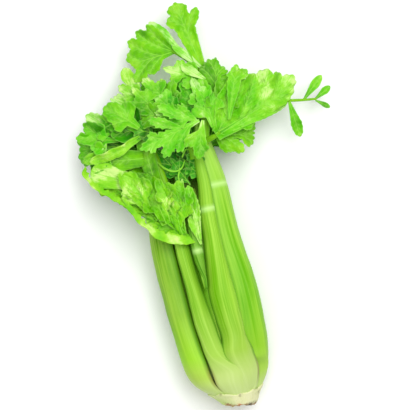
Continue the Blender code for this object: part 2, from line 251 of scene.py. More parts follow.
def leaf_finish():
    """Leaf blade: fine streaks beside the veins, mottled patches, and a paler underside and edge."""
    paint = Finish("leaf_blade")
    vein, margin, under, tone, warm, off, run = paint.attributes("vein margin under tone warm off run")
    patch = paint.noise(paint.where, 60.0, 5.0)
    streak = paint.noise(paint.vector(off * 0.9, run * 0.10, tone), 1.0, 3.0)
    # Tone, which carries painted shade and highlight as well as the blades' own paleness, picks the colour.
    depth = (tone + (patch - 0.5) * 1.25 + (streak - 0.5) * 0.42).clip()
    cool, golden = (paint.ramp(depth, TONES, [shade(*colour) for colour in row]) for row in (COOL, GOLDEN))
    base = paint.mix(warm, cool, golden)
    cells = {"Vector": paint.where, "Scale": 420.0}
    net = paint.node("ShaderNodeTexVoronoi", {"feature": "DISTANCE_TO_EDGE"}, cells)
    threads = (1 - net * 9).clip()
    main = (1 - vein / 0.5).clip()
    glow = (1 - vein / 2.2).clip()
    pale = paint.tint(base, 0.5, 200, 244, 130)
    colour = paint.mix((main * 0.26 + glow * 0.16 + threads * 0.05).clip(), base, pale)
    colour = paint.tint(colour, (1 - margin / 1.1).clip() * 0.30, 176, 232, 110)
    colour = paint.tint(colour, under * 0.4, 150, 214, 60)
    height = main * -0.5 + threads * -0.2 + streak * 0.8 + (vein * 0.25).clip() * 0.4
    bump = paint.bump(height, 0.0006, 0.7)
    paint.set(Base_Color=colour, Roughness=0.38 + patch * 0.2, Specular_IOR_Level=GLOSS, Normal=bump)
    return paint.material


def vein_finish(name, light, deep):
    """Leaf stems and raised veins: smooth and a little paler than the blade."""
    paint = Finish(name)
    streak = paint.fibre(0.15, 500.0)
    patch = paint.noise(paint.where, 60.0)
    colour = paint.mix((streak * 0.6 + patch * 0.5 - 0.1).clip(), shade(*deep), shade(*light))
    bump = paint.bump(streak, 0.0003, 0.4)
    paint.set(Base_Color=colour, Roughness=0.36 + streak * 0.2, Specular_IOR_Level=0.2, Normal=bump)
    return paint.material


def crown_finish():
    """The root plate: cream flesh with a green cast, browned and flecked where the root was cut."""
    paint = Finish("crown_flesh")
    cut = paint.attribute("cut")
    broad = paint.noise(paint.where, 120.0, 4.0)
    specks = paint.noise(paint.where, 520.0, 2.0)
    fibres = paint.fibre(0.12, 700.0)
    rings = paint.node("ShaderNodeTexVoronoi", {}, {"Vector": paint.where, "Scale": 260.0})
    cream = paint.mix(broad, shade(236, 232, 186), shade(206, 216, 130))
    cream = paint.tint(cream, (fibres * 0.8 - 0.2).clip(), 240, 240, 210)
    cream = paint.tint(cream, paint.attribute("fresh"), 170, 210, 80)
    browned = paint.mix(specks, shade(156, 112, 62), shade(214, 178, 120))
    browned = paint.tint(browned, (1 - rings * 3).clip() * 0.7, 70, 40, 22)
    browned = paint.tint(browned, ((broad - 0.58) * 9).clip() * 0.7, 206, 122, 58)
    colour = paint.mix((cut * 1.5 - 0.55 + (broad - 0.5) * 2.4).clip(), cream, browned)
    rust = (paint.attribute("rust") * 1.6 + (specks - 0.5) * 2 - 0.6).clip()
    dark = (paint.attribute("dark") * 2 + (broad - 0.5) * 5 - 0.5).clip()
    colour = paint.tint(colour, ((specks - 0.60) * 10).clip() * cut, 46, 30, 20)
    colour = paint.tint(colour, rust * 0.8, 224, 124, 44)
    colour = paint.tint(colour, dark, 62, 46, 26)
    bump = paint.bump(broad * 0.5 + specks * 0.2 + fibres * 0.4 + rings * 0.2, 0.0012, 0.8)
    paint.set(Base_Color=colour, Roughness=0.55 + specks * 0.3, Normal=bump)
    return paint.material


# Each skin's colours at the foot, low down, in the middle and at the top. The heart's stalks share one, and
# the stalks with no skin of their own share skin_other.
SKINS = {
    node: stalk_finish(name, *colours)
    for node, name, *colours in (
        ("stalk_front_right", "skin_front_right", FOOT, (170, 208, 84), (140, 204, 4), (116, 190, 4)),
        ("stalk_front_left", "skin_front_left", FOOT, (184, 222, 104), (132, 196, 4), (108, 176, 2)),
        # The right stalk's pale top is partly a painted highlight.
        ("stalk_right", "skin_right", (186, 222, 104), (150, 208, 20), (132, 204, 0), (178, 230, 96)),
        ("stalk_left", "skin_left", (190, 218, 100), (160, 222, 4), (124, 180, 4), (104, 164, 0)),
        # The inner front stalk, in the gap between the others, is dark low down as painted shade.
        ("stalk_inner_front", "skin_inner", (40, 90, 10), (16, 92, 0), (92, 168, 6), (140, 204, 30)),
        # The other stalks' dark tops are painted shade in the hollow between the stalks' tops.
        ("", "skin_other", FOOT, (150, 204, 40), (118, 186, 10), (70, 150, 4)),
        ("heart", "skin_heart", (220, 228, 160), (204, 226, 110), (176, 220, 60), (120, 190, 20)),
    )
}
BLADE = leaf_finish()
VEIN = vein_finish("leaf_vein", (164, 230, 76), (120, 204, 30))
STEM = vein_finish("leaf_stem", (146, 208, 30), (100, 172, 6))
CROWN = crown_finish()


# ---- geometry trees


def geometry_tree(name, inputs):
    """An empty geometry tree with named inputs. Gives its graph, its geometry and its inputs' values."""
    tree = bpy.data.node_groups.new(name, "GeometryNodeTree")
    tree.interface.new_socket("Geometry", in_out="INPUT", socket_type="NodeSocketGeometry")
    for label, kind in inputs:
        tree.interface.new_socket(label, in_out="INPUT", socket_type=kind)
    tree.interface.new_socket("Geometry", in_out="OUTPUT", socket_type="NodeSocketGeometry")
    entry = tree.nodes.new("NodeGroupInput")
    graph = Graph(tree)
    values = {socket.name: Value(graph, socket) for socket in entry.outputs if socket.name}
    return graph, values


def close_tree(graph, geometry, material):
    """Ends a tree: what it made becomes plain geometry with a material."""
    real = graph.node("GeometryNodeRealizeInstances", {}, {"Geometry": geometry})
    painted = graph.node("GeometryNodeSetMaterial", {}, {"Geometry": real, "Material": material})
    exit_node = graph.tree.nodes.new("NodeGroupOutput")
    graph.tree.links.new(painted.socket, exit_node.inputs["Geometry"])
    return graph.tree


def named(graph, name):
    """A point's own number under an attribute's name."""
    return graph.node("GeometryNodeInputNamedAttribute", {"data_type": "FLOAT"}, {"Name": name})


def rib_tree():
    """Raises the long ribs on a stalk's outer face, and makes its skin slightly uneven."""
    numbers = [(label, "NodeSocketFloat") for label in ("Ribs", "Rib Height", "Unevenness")]
    graph, given = geometry_tree("stalk_ribs", [*numbers, ("Material", "NodeSocketMaterial")])
    across, outside, ribbed = (named(graph, n) for n in ("across", "outside", "ribbed"))
    wave = (across * math.pi * given["Ribs"]).math("COSINE").math("ABSOLUTE") ** 0.8
    rib = (wave - 0.6) * given["Rib Height"] * outside * ribbed
    spot = graph.node("GeometryNodeInputPosition")
    rough = graph.node("ShaderNodeTexNoise", {}, {"Vector": spot, "Scale": 38.0, "Detail": 2.0})
    lift = rib + (rough - 0.5) * given["Unevenness"]
    facing = graph.node("GeometryNodeInputNormal")
    push = graph.node("ShaderNodeVectorMath", {"operation": "SCALE"}, {0: facing, "Scale": lift})
    moved = graph.node("GeometryNodeSetPosition", {}, {"Geometry": given["Geometry"], "Offset": push})
    return close_tree(graph, moved, given["Material"])


def tube_tree():
    """Turns lines into tubes as thick as each point's own thickness says."""
    inputs = (("Sides", "NodeSocketInt"), ("Material", "NodeSocketMaterial"))
    graph, given = geometry_tree("tubes_on_lines", inputs)
    line = graph.node("GeometryNodeMeshToCurve", {}, {0: given["Geometry"]})
    ring = graph.node("GeometryNodeCurvePrimitiveCircle", {}, {"Resolution": given["Sides"], "Radius": 1.0})
    sockets = {"Curve": line, "Profile Curve": ring, "Scale": named(graph, "thickness"), "Fill Caps": True}
    tube = graph.node("GeometryNodeCurveToMesh", {}, sockets)
    smooth = graph.node("GeometryNodeSetShadeSmooth", {}, {0: tube})
    return close_tree(graph, smooth, given["Material"])


def grown(source, tree, **inputs):
    """The plain mesh that a geometry tree makes from a mesh."""
    holder = bpy.data.objects.new("growing", source)
    bpy.context.scene.collection.objects.link(holder)
    tool = holder.modifiers.new("grow", "NODES")
    tool.node_group = tree
    for socket in tree.interface.items_tree:
        label = socket.name.replace(" ", "_")
        if socket.in_out == "INPUT" and label in inputs:
            tool[socket.identifier] = inputs[label]
    bpy.context.view_layer.update()
    graph = bpy.context.evaluated_depsgraph_get()
    result = bpy.data.meshes.new_from_object(holder.evaluated_get(graph), depsgraph=graph)
    bpy.data.objects.remove(holder)
    return result


RIB_TREE = rib_tree()
TUBE_TREE = tube_tree()


def finish_piece(name, mesh, node):
    """Puts a finished mesh in the scene in place of the solid it stands for."""
    piece = bpy.data.objects.new(name, mesh)
    bpy.context.scene.collection.objects.link(piece)
    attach(piece, "root")
    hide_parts(node)


def mesh_from(name, points, faces, edges=(), **attributes):
    """A mesh from millimetres, with a number at each point under each attribute's name."""
    mesh = bpy.data.meshes.new(name)
    corners = (np.asarray(points, float) * MM).tolist()
    mesh.from_pydata(corners, list(edges), [tuple(map(int, face)) for face in faces])
    for key, values in attributes.items():
        layer = mesh.attributes.new(key, "FLOAT", "POINT")
        layer.data.foreach_set("value", np.asarray(values, np.float32).ravel())
    return mesh


def turn_outwards(mesh):
    """Turns a closed mesh's faces over if they face inwards, and shades them smooth."""
    bm = bmesh.new()
    bm.from_mesh(mesh)
    if bm.calc_volume(signed=True) < 0:
        bmesh.ops.reverse_faces(bm, faces=bm.faces)
    bm.to_mesh(mesh)
    bm.free()
    mesh.shade_smooth()


# ---- stalks

# Points round a stalk solid's section, and on each of its two faces.
RING = 14
FACE = RING // 2


def rings_of(node):
    """A stalk solid's sections, from foot to top: its outer and its hollow face, each as a row of points."""
    data = NODES[node].data
    raw = np.round(np.array([v.co for v in data.vertices]) / MM, 2)
    points, index = np.unique(raw, axis=0, return_inverse=True)
    index = index.ravel()
    heights = np.unique(np.round(points[:, 1], 1))
    level = np.searchsorted(heights, np.round(points[:, 1], 1))
    beside = {}
    for face in data.polygons:
        corners = [int(index[v]) for v in face.vertices]
        levels = [int(level[c]) for c in corners]
        if len(set(levels)) != 2:
            continue
        for a, b in zip(corners, corners[1:] + corners[:1]):
            if level[a] == level[b] and a != b:
                beside.setdefault(a, set()).add(b)
                beside.setdefault(b, set()).add(a)
    outer, inner = [], []
    for k in range(len(heights)):
        members = [i for i in np.flatnonzero(level == k) if int(i) in beside]
        loop = [int(members[0])]
        while len(loop) < len(members):
            loop.append(next(p for p in sorted(beside[loop[-1]]) if p not in loop))
        ring = points[loop]
        costs = []
        for s in range(FACE):
            one = ring[[(s + j) % RING for j in range(FACE)]]
            two = ring[[(s - 1 - j) % RING for j in range(FACE)]]
            costs.append((np.linalg.norm(one - two, axis=1).sum(), s))
        s = min(costs)[1]
        one = ring[[(s + j) % RING for j in range(FACE)]]
        two = ring[[(s - 1 - j) % RING for j in range(FACE)]]
        spans = [np.linalg.norm(np.diff(row, axis=0), axis=1).sum() for row in (one, two)]
        if spans[0] < spans[1]:
            one, two = two, one
        chord, depth = one[-1] - one[0], two[FACE // 2] - one[FACE // 2]
        if chord[0] * depth[2] - chord[2] * depth[0] > 0:
            one, two = one[::-1], two[::-1]
        outer.append(one)
        inner.append(two)
    return np.array(outer), np.array(inner)


def smooth_rows(rows, keys, at):
    """Rows at new places, on smooth curves through the given ones."""
    slopes = np.gradient(rows, keys, axis=0)
    at = np.clip(at, keys[0], keys[-1])
    i = np.clip(np.searchsorted(keys, at, side="right") - 1, 0, len(keys) - 2)
    shape = (-1,) + (1,) * (rows.ndim - 1)
    step = (keys[i + 1] - keys[i]).reshape(shape)
    t = ((at - keys[i]) / (keys[i + 1] - keys[i])).reshape(shape)
    return (
        (2 * t**3 - 3 * t**2 + 1) * rows[i]
        + (t**3 - 2 * t**2 + t) * step * slopes[i]
        + (3 * t**2 - 2 * t**3) * rows[i + 1]
        + (t**3 - t**2) * step * slopes[i + 1]
    )


CROWN_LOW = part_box("crown")[0] / MM
RINGS = {node: rings_of(node) for node in sorted(NODES) if "stalk" in node}
# Stalks that begin below this height stand on the crown.
ON_CROWN = CROWN_LOW.y + 12
# Where they meet there: the least and the greatest corner of all their feet together, at two levels.
FEET = [rows for rows, _ in RINGS.values() if rows[0, 0, 1] < ON_CROWN]
LEVELS = (FEET[0][0, 0, 1], FEET[0][1, 0, 1])
FEET_LOW = np.array([np.vstack([rows[k] for rows in FEET]).min(axis=0) for k in (0, 1)])
FEET_HIGH = np.array([np.vstack([rows[k] for rows in FEET]).max(axis=0) for k in (0, 1)])
# Below the first level the foot draws in at this share of its rate above it.
BELOW_FEET = 0.75


def feet_section(height):
    """The middle and half-widths of the whole foot at a height above the first level."""
    share = (height - LEVELS[0]) / (LEVELS[1] - LEVELS[0])
    if share < 0:
        share *= BELOW_FEET
    low = FEET_LOW[0] + (FEET_LOW[1] - FEET_LOW[0]) * share
    high = FEET_HIGH[0] + (FEET_HIGH[1] - FEET_HIGH[0]) * share
    return (low + high) / 2, (high - low) / 2


# Sections added under a stalk's foot: how far down, and the shares of its width and its thickness.
FOOT_TUCKS = ((2.0, 0.94, 0.90), (4.0, 0.84, 0.70), (5.5, 0.70, 0.40))
# Sections added over its top: how far up, and the share of its size.
TOP_TAPERS = ((4, 0.90), (8, 0.74), (12, 0.52), (15, 0.30), (17, 0.12))
# How high the pale joints are above the cut, and a height that no stalk reaches.
JOINTS = {"stalk_front_right": 176.0, "stalk_right": 196.0, "stalk_inner_front": 141.0}
NO_JOINT = 400.0
# Columns of points across a stalk's outer and its hollow face, and shares along its rounded edges.
ACROSS = 61
ACROSS_HOLLOW = 21
ROUNDING = (0.2, 0.4, 0.6, 0.8)
ROW_STEP = 2.0
RIB_HEIGHT = 0.22
UNEVENNESS = 1.6
# Where the ribs begin and begin to fade, and how far a joint's pale band and its smooth stretch reach.
RIBS_BEGIN = 40
RIBS_FADE = 185
BAND_REACH = 2.2
SMOOTH_REACH = 4
# The front right stalk's foot spreads over the sheath below it: height, left and right edge, and rise.
SPREAD = (
    (7.0, 3.0, 11.0, -1.0), (13.0, 2.0, 15.0, -0.4), (20.0, 0.5, 18.0, 0.3), (27.0, -2.0, 19.6, 0.8),
    (33.0, -4.6, 19.6, 1.3), (39.0, -6.8, 18.8, 1.9), (45.0, -8.2, 18.2, 2.3),
)
SPREAD_THICKNESS = 4.0
# Above this height the stalk follows its solid again.
SPREAD_ENDS = 52


def spread_foot(outer, inner):
    """Draws the front right stalk's foot on, over the sheath, down to where it melts into the pale base."""
    sheath, _ = RINGS["stalk_front_left"]
    whole = sheath[:3]
    rows = []
    for height, left, right, rise in SPREAD:
        y = height + SHIFT.y
        edge = smooth_rows(whole, whole[:, 0, 1], np.array([y]))[0]
        beyond = max(0.0, y - whole[-1, 0, 1])
        xs = np.linspace(left + SHIFT.x, right + SHIFT.x, FACE)
        bulge = 1 - np.linspace(-1, 1, FACE) ** 6 * np.where(np.arange(FACE) < FACE // 2, 0.75, 1.4)
        zs = np.interp(xs, edge[:, 0], edge[:, 2]) + rise * bulge + beyond * 0.10
        rows.append(np.stack([xs, np.full(FACE, y), zs], axis=1))
    rows = np.array(rows)
    keep = outer[:, 0, 1] > SHIFT.y + SPREAD_ENDS
    upper, lower = outer[keep], inner[keep]
    if upper[0, 0, 0] > upper[0, -1, 0]:
        rows = rows[:, ::-1]
    return np.vstack([rows, upper]), np.vstack([rows - (0, 0, SPREAD_THICKNESS), lower])


# Edges that are moved: the left (0) or the right (-1) one, how far, and between which heights.
OPEN_EDGES = {
    "stalk_left": ((-1, (-1.6, 0, -2.4), 14, 165),),
    "stalk_front_left": ((-1, (-2.4, 0, -3.0), 14, 165), (0, (0.4, 0, -1.0), 14, 165)),
    "stalk_front_right": ((0, (0.6, 0, -2.8), 14, 165),),
    "stalk_right": ((0, (-4.0, 0, -1.2), 14, 165), (0, (-2.5, 0, 1.0), 4, 90)),
    "stalk_inner_front": ((-1, (0, 0, -1.5), 14, 165), (0, (0, 0, -1.5), 14, 165)),
}
# Over what height the pull comes and goes, and its share on the next column of points.
FADE_IN = 12
FADE_OUT = 30
NEXT_SHARE = 0.45
# Stalks that lean to the right near their tops: heights, and how far their left and right edges move.
LEANS = {
    "stalk_front_right": ((140, 176, 202, 232), (0, 3.0, 6.5, 8.0), (0, 2.0, 4.0, 5.0)),
    "stalk_right": ((176, 202, 232), (0, 1.5, 3.0), (0, 0, 1.0)),
}
# The front left stalk's right edge, from its foot up: height and place.
SWEEP = ((20, 1.0), (36, -3.4), (54, -8.6), (74, -11.0), (95, -12.6))


def open_edges(node, outer, inner):
    """Moves a stalk's edges a little, so dark gaps show between some stalks and others overlap."""
    outer, inner = outer.copy(), inner.copy()
    height = outer[:, 0, 1] - SHIFT.y
    for end, pull, low, high in OPEN_EDGES.get(node, ()):
        strength = np.clip((height - low) / FADE_IN, 0, 1) * np.clip((high - height) / FADE_OUT, 0, 1)
        for column, share in ((end, 1.0), (1 if end == 0 else -2, NEXT_SHARE)):
            for face in (outer, inner):
                face[:, column] += np.outer(strength, pull) * share
    if node in LEANS:
        levels, left, right = LEANS[node]
        share = np.linspace(0, 1, FACE)[None]
        left, right = (np.interp(height, levels, way)[:, None] for way in (left, right))
        for face in (outer, inner):
            face[:, :, 0] += left * (1 - share) + right * share
    if node == "stalk_front_left":
        wanted = np.interp(height, *zip(*SWEEP)) + SHIFT.x
        gap = np.where((height > SWEEP[0][0]) & (height < SWEEP[-1][0] + 1), wanted - outer[:, -1, 0], 0)
        for column, share in ((-1, 1.0), (-2, 0.66), (-3, 0.33)):
            for face in (outer, inner):
                face[:, column, 0] += gap * share
    return outer, inner


def stalk_rows(node):
    """A stalk's sections from its tucked foot to its closed top: its outer and its hollow face."""
    outer, inner = RINGS[node]
    if node == "stalk_front_right":
        outer, inner = spread_foot(outer, inner)
    elif outer[0, 0, 1] < ON_CROWN:
        first, first_in = outer[0], inner[0]
        middle = feet_section(LEVELS[0])[0]
        for drop, share, thin in FOOT_TUCKS:
            rim = middle + (first - middle) * share
            hollow = rim + (first_in - first) * thin
            rim[:, 1] = hollow[:, 1] = first[0, 1] - drop
            outer, inner = np.vstack([rim[None], outer]), np.vstack([hollow[None], inner])
    outer, inner = open_edges(node, outer, inner)
    lean = (outer[-1].mean(axis=0) - outer[-3].mean(axis=0)) / (outer[-1][0, 1] - outer[-3][0, 1])
    last, last_in = outer[-1].copy(), inner[-1].copy()
    heart = (last.mean(axis=0) + last_in.mean(axis=0)) / 2
    for rise, share in TOP_TAPERS:
        centre = heart + lean * rise
        outer = np.vstack([outer, (centre + (last - heart) * share)[None]])
        inner = np.vstack([inner, (centre + (last_in - heart) * share)[None]])
    keys = outer[:, 0, 1]
    at = np.linspace(keys[0], keys[-1], int((keys[-1] - keys[0]) / ROW_STEP))
    return smooth_rows(outer, keys, at), smooth_rows(inner, keys, at)


def stalk_columns(outer, inner):
    """Columns of points round a stalk, with their places across, -1 to 1, and their shares of the outside."""
    knots = np.arange(FACE, dtype=float)
    front, back = (
        smooth_rows(np.swapaxes(face, 0, 1), knots, np.linspace(0, FACE - 1, count))
        for face, count in ((outer, ACROSS), (inner, ACROSS_HOLLOW))
    )
    back = back[::-1]
    columns = list(zip(front, np.linspace(-1, 1, ACROSS), [1.0] * ACROSS))

    def rounding(start, end, before, side, shares):
        """Rounds the edge between the two faces."""
        reach = start - before
        reach /= np.linalg.norm(reach, axis=1, keepdims=True)
        corner = (start + end) / 2 + reach * np.linalg.norm(start - end, axis=1, keepdims=True) * 0.7
        for t, share in zip(ROUNDING, shares):
            columns.append(((1 - t) ** 2 * start + 2 * t * (1 - t) * corner + t**2 * end, side, share))

    rounding(front[-1], back[0], front[-2], 1.0, ROUNDING[::-1])
    columns.extend(zip(back, np.linspace(1, -1, ACROSS_HOLLOW), [0.0] * ACROSS_HOLLOW))
    rounding(back[-1], front[0], back[-2], -1.0, ROUNDING)
    return columns


def make_stalk(node):
    """One stalk: a closed skin through its sections, then ribs on it."""
    columns, across, outside = zip(*stalk_columns(*stalk_rows(node)))
    points = np.stack(columns, axis=1)
    rows, count = points.shape[:2]
    faces = []
    for r in range(rows - 1):
        for c in range(count):
            d = (c + 1) % count
            faces.append((r * count + c, r * count + d, (r + 1) * count + d, (r + 1) * count + c))
    faces.append(tuple(range(count))[::-1])
    faces.append(tuple((rows - 1) * count + c for c in range(count)))
    along = points[:, :, 1] - CROWN_LOW.y
    across, outside = (np.tile(np.array(values), (rows, 1)) for values in (across, outside))
    from_joint = along - (JOINTS.get(node, NO_JOINT) - DRAWN_LOW.y)
    # The ribs fade towards the foot, at the joint, near the top and at the edges.
    smooth = 0.75 * np.exp(-((from_joint / SMOOTH_REACH) ** 2))
    ribbed = np.clip((along - RIBS_BEGIN) / 50, 0.05, 1) * (1 - smooth)
    ribbed = ribbed * (1 - 0.6 * np.clip((along - RIBS_FADE) / 40, 0, 1))
    ribbed = ribbed * np.clip((1 - np.abs(across)) * 6, 0, 1)
    band = np.exp(-((from_joint / BAND_REACH) ** 2))
    marks = {"along": along, "across": across, "outside": outside, "band": band, "ribbed": ribbed}
    mesh = mesh_from(node, points.reshape(-1, 3), faces, **marks)
    turn_outwards(mesh)
    group = "heart" if node.startswith("heart") else "stalk"
    skin = SKINS.get(node, SKINS["heart" if group == "heart" else ""])
    lift = {"Rib_Height": RIB_HEIGHT * MM, "Unevenness": UNEVENNESS * MM}
    mesh = grown(mesh, RIB_TREE, Ribs=RIBS, Material=skin, **lift)
    for vertex in mesh.vertices:
        vertex.co.z = max(vertex.co.z, 0)
    mesh.shade_smooth()
    finish_piece(node.replace("stalk", "celery_stalk"), mesh, node)


for stalk in sorted(n for n in NODES if "stalk" in n):
    make_stalk(stalk)


# ---- crown


# The root plate's outline from the middle of the cut to its torn lip: shares of its height and its width.
PLATE_OUTLINE = (
    (-0.02, 0.0), (-0.02, 0.35), (-0.01, 0.62), (0.0, 0.84), (0.04, 0.96), (0.14, 1.015), (0.3, 1.03),
    (0.5, 1.03), (0.7, 1.035), (0.86, 1.05), (0.95, 1.045), (1.0, 1.015), (0.99, 0.96), (0.9, 0.86),
)
TURNS = 180
# How often its lip is torn, and how deep.
TEARS = ((3.0, 2.0), (11.0, 0.9), (30.0, 0.4))


def make_crown():
    """The root plate that holds the stalks: a pale band with a torn lip, and a rough brown cut end."""
    points, cuts, fresh, dark, rust = [], [], [], [], []
    for share, spread in PLATE_OUTLINE:
        for k in range(TURNS if spread else 1):
            angle = 2 * math.pi * k / TURNS
            way = Vector((math.cos(angle), 0, math.sin(angle)))
            torn = sum(noise.noise(way * often) * deep for often, deep in TEARS)
            lip = LEVELS[0] + 1.0 + 6.5 * max(0.0, way.x) ** 2.5 + 1.5 * max(0.0, -way.x) + torn
            tilt = 2.5 * way.x * spread
            height = CROWN_LOW.y + 1.0 - tilt + (lip - CROWN_LOW.y) * share
            middle, half = feet_section(height)
            x, z = (middle[i] + way[i] * half[i] * spread for i in (0, 2))
            spot = Vector((x, height, z))
            rough = noise.fractal(spot / 5, 0.7, 2.1, 4)
            ends = 1 - min(1.0, max(0.0, share * 5))
            spot.y += rough * (0.3 + 1.6 * ends)
            spot += way * rough * 0.5 * spread
            points.append(spot)
            cuts.append(min(1.0, ends + 0.10 + 0.5 * max(0.0, noise.noise(way * 7.0)) * (share < 0.4)))
            fresh.append(min(1.0, max(0.0, -0.1 - way.x)) * (1 - 0.5 * share))
            low = max(0.0, 1 - max(0.0, share) / 0.45)
            dark.append(low * math.exp(-(((way.x - 0.62) / 0.26) ** 2)) * (way.z > 0))
            rust.append(low * math.exp(-(((way.x + 0.12) / 0.2) ** 2)) * (way.z > 0))
    faces = []
    top = 1 + (len(PLATE_OUTLINE) - 2) * TURNS
    for k in range(TURNS):
        after = (k + 1) % TURNS
        faces.append((0, 1 + after, 1 + k))
        for a in range(1, top, TURNS):
            faces.append((a + k, a + after, a + TURNS + after, a + TURNS + k))
    faces.append(tuple(top + k for k in range(TURNS)))
    mesh = mesh_from("crown", points, faces, cut=cuts, fresh=fresh, dark=dark, rust=rust)
    turn_outwards(mesh)
    mesh.materials.append(CROWN)
    finish_piece("cut_crown", mesh, "crown")


make_crown()


# ---- lines


def smooth_line(route, count):
    """A smooth line in the head's frame through drawn points."""
    rows = np.array([tuple(place(point)) for point in route], float)
    keys = np.arange(len(rows), dtype=float)
    return smooth_rows(rows, keys, np.linspace(0, len(rows) - 1, count))


def tubes(lines, sides, material):
    """One mesh of tubes along lines, each a pair of points in millimetres and their radii."""
    points, edges, radii = [], [], []
    for line, radius in lines:
        start = len(points)
        points.extend(line)
        radii.extend(np.asarray(radius) * MM)
        edges.extend((start + k, start + k + 1) for k in range(len(line) - 1))
    mesh = mesh_from("lines", points, [], edges, thickness=radii)
    return grown(mesh, TUBE_TREE, Sides=sides, Material=material)


# Leaf stems: the solid each stands for, its radius at both ends, and the points it runs through.
STEMS = (
    ("leaf_stem_left", 5.0, 2.4, ((-38, 178, 50), (-40, 192, 49), (-42, 214, 50), (-44, 245, 51))),
    ("leaf_stem_left_top", 4.2, 1.6, ((-26, 182, 54), (-30, 220, 48), (-36, 258, 48), (-38, 292, 44))),
    ("leaf_stem_centre", 3.6, 2.2, ((2, 222, 52), (2, 231, 52), (1, 242, 55), (-2, 262, 59))),
    ("leaf_stem_right_main", 4.6, 1.8, ((13, 230, 50), (22, 262, 52), (29, 284, 49), (27, 302, 47))),
    ("leaf_stem_front", 3.0, 1.6, ((8, 230, 52), (13, 246, 64), (15, 252, 69.5))),
    ("leaf_stem_right", 3.0, 1.8, ((15, 236, 52), (24, 238, 58), (30, 241, 61))),
    ("leaf_stem_fan", 2.0, 1.4, ((25, 299, 46), (14, 312, 44), (3, 322, 43))),
    ("leaf_stem_sprig", 1.7, 1.0, ((86, 256, 43), (95, 256.5, 39), (109, 254.5, 33), (122, 253, 29))),
)
STEM_SIDES = 16

for node, thick, thin, route in STEMS:
    count = 8 * len(route)
    stem = tubes([(smooth_line(route, count), np.linspace(thick, thin, count))], STEM_SIDES, STEM)
    stem.shade_smooth()
    finish_piece(node.replace("leaf_stem", "stem_to_leaf"), stem, node)


# ---- leaves


class Blade(NamedTuple):
    """One leaf blade, from its base to its tip, with its width.

    Tone goes from dark to pale, at its base and at its tip, and warm from a bluish to a yellow green. Lobes
    are its side lobes' tips and widths. Without them it has pairs of side lobes. End is the end lobe's share
    of the width. Arch is how high its middle stands. Fold is the angle its two halves rise at, curl how far
    its right and left edges roll up, and roll how far it lies over to one side, in degrees. Ruffle is how
    high its waves are, and pleat its long wrinkles. Point and cut are how pointed and how deep its teeth are,
    and neck is its base's share of the width."""

    base: tuple
    tip: tuple
    width: float
    # Tone is partly painted light: blades underneath, in the hollow, in cups and at their bases are toned
    # darker as painted shade, and some tips, rims and folds paler as painted highlight.
    tone: tuple = (0.45, 0.6)
    warm: float = 0.4
    lobes: tuple = ()
    pairs: int = 2
    end: float = 0.36
    arch: float = 3.0
    fold: float = 6.0
    curl: tuple = (0, 0)
    roll: float = 0.0
    ruffle: float = 2.0
    point: float = 0.4
    cut: float = 1.0
    pleat: float = 0.0
    neck: float = 0.2


def plain(*shape, **settings):
    """A blade with no side lobes."""
    return Blade(*shape, pairs=0, end=1.0, **settings)


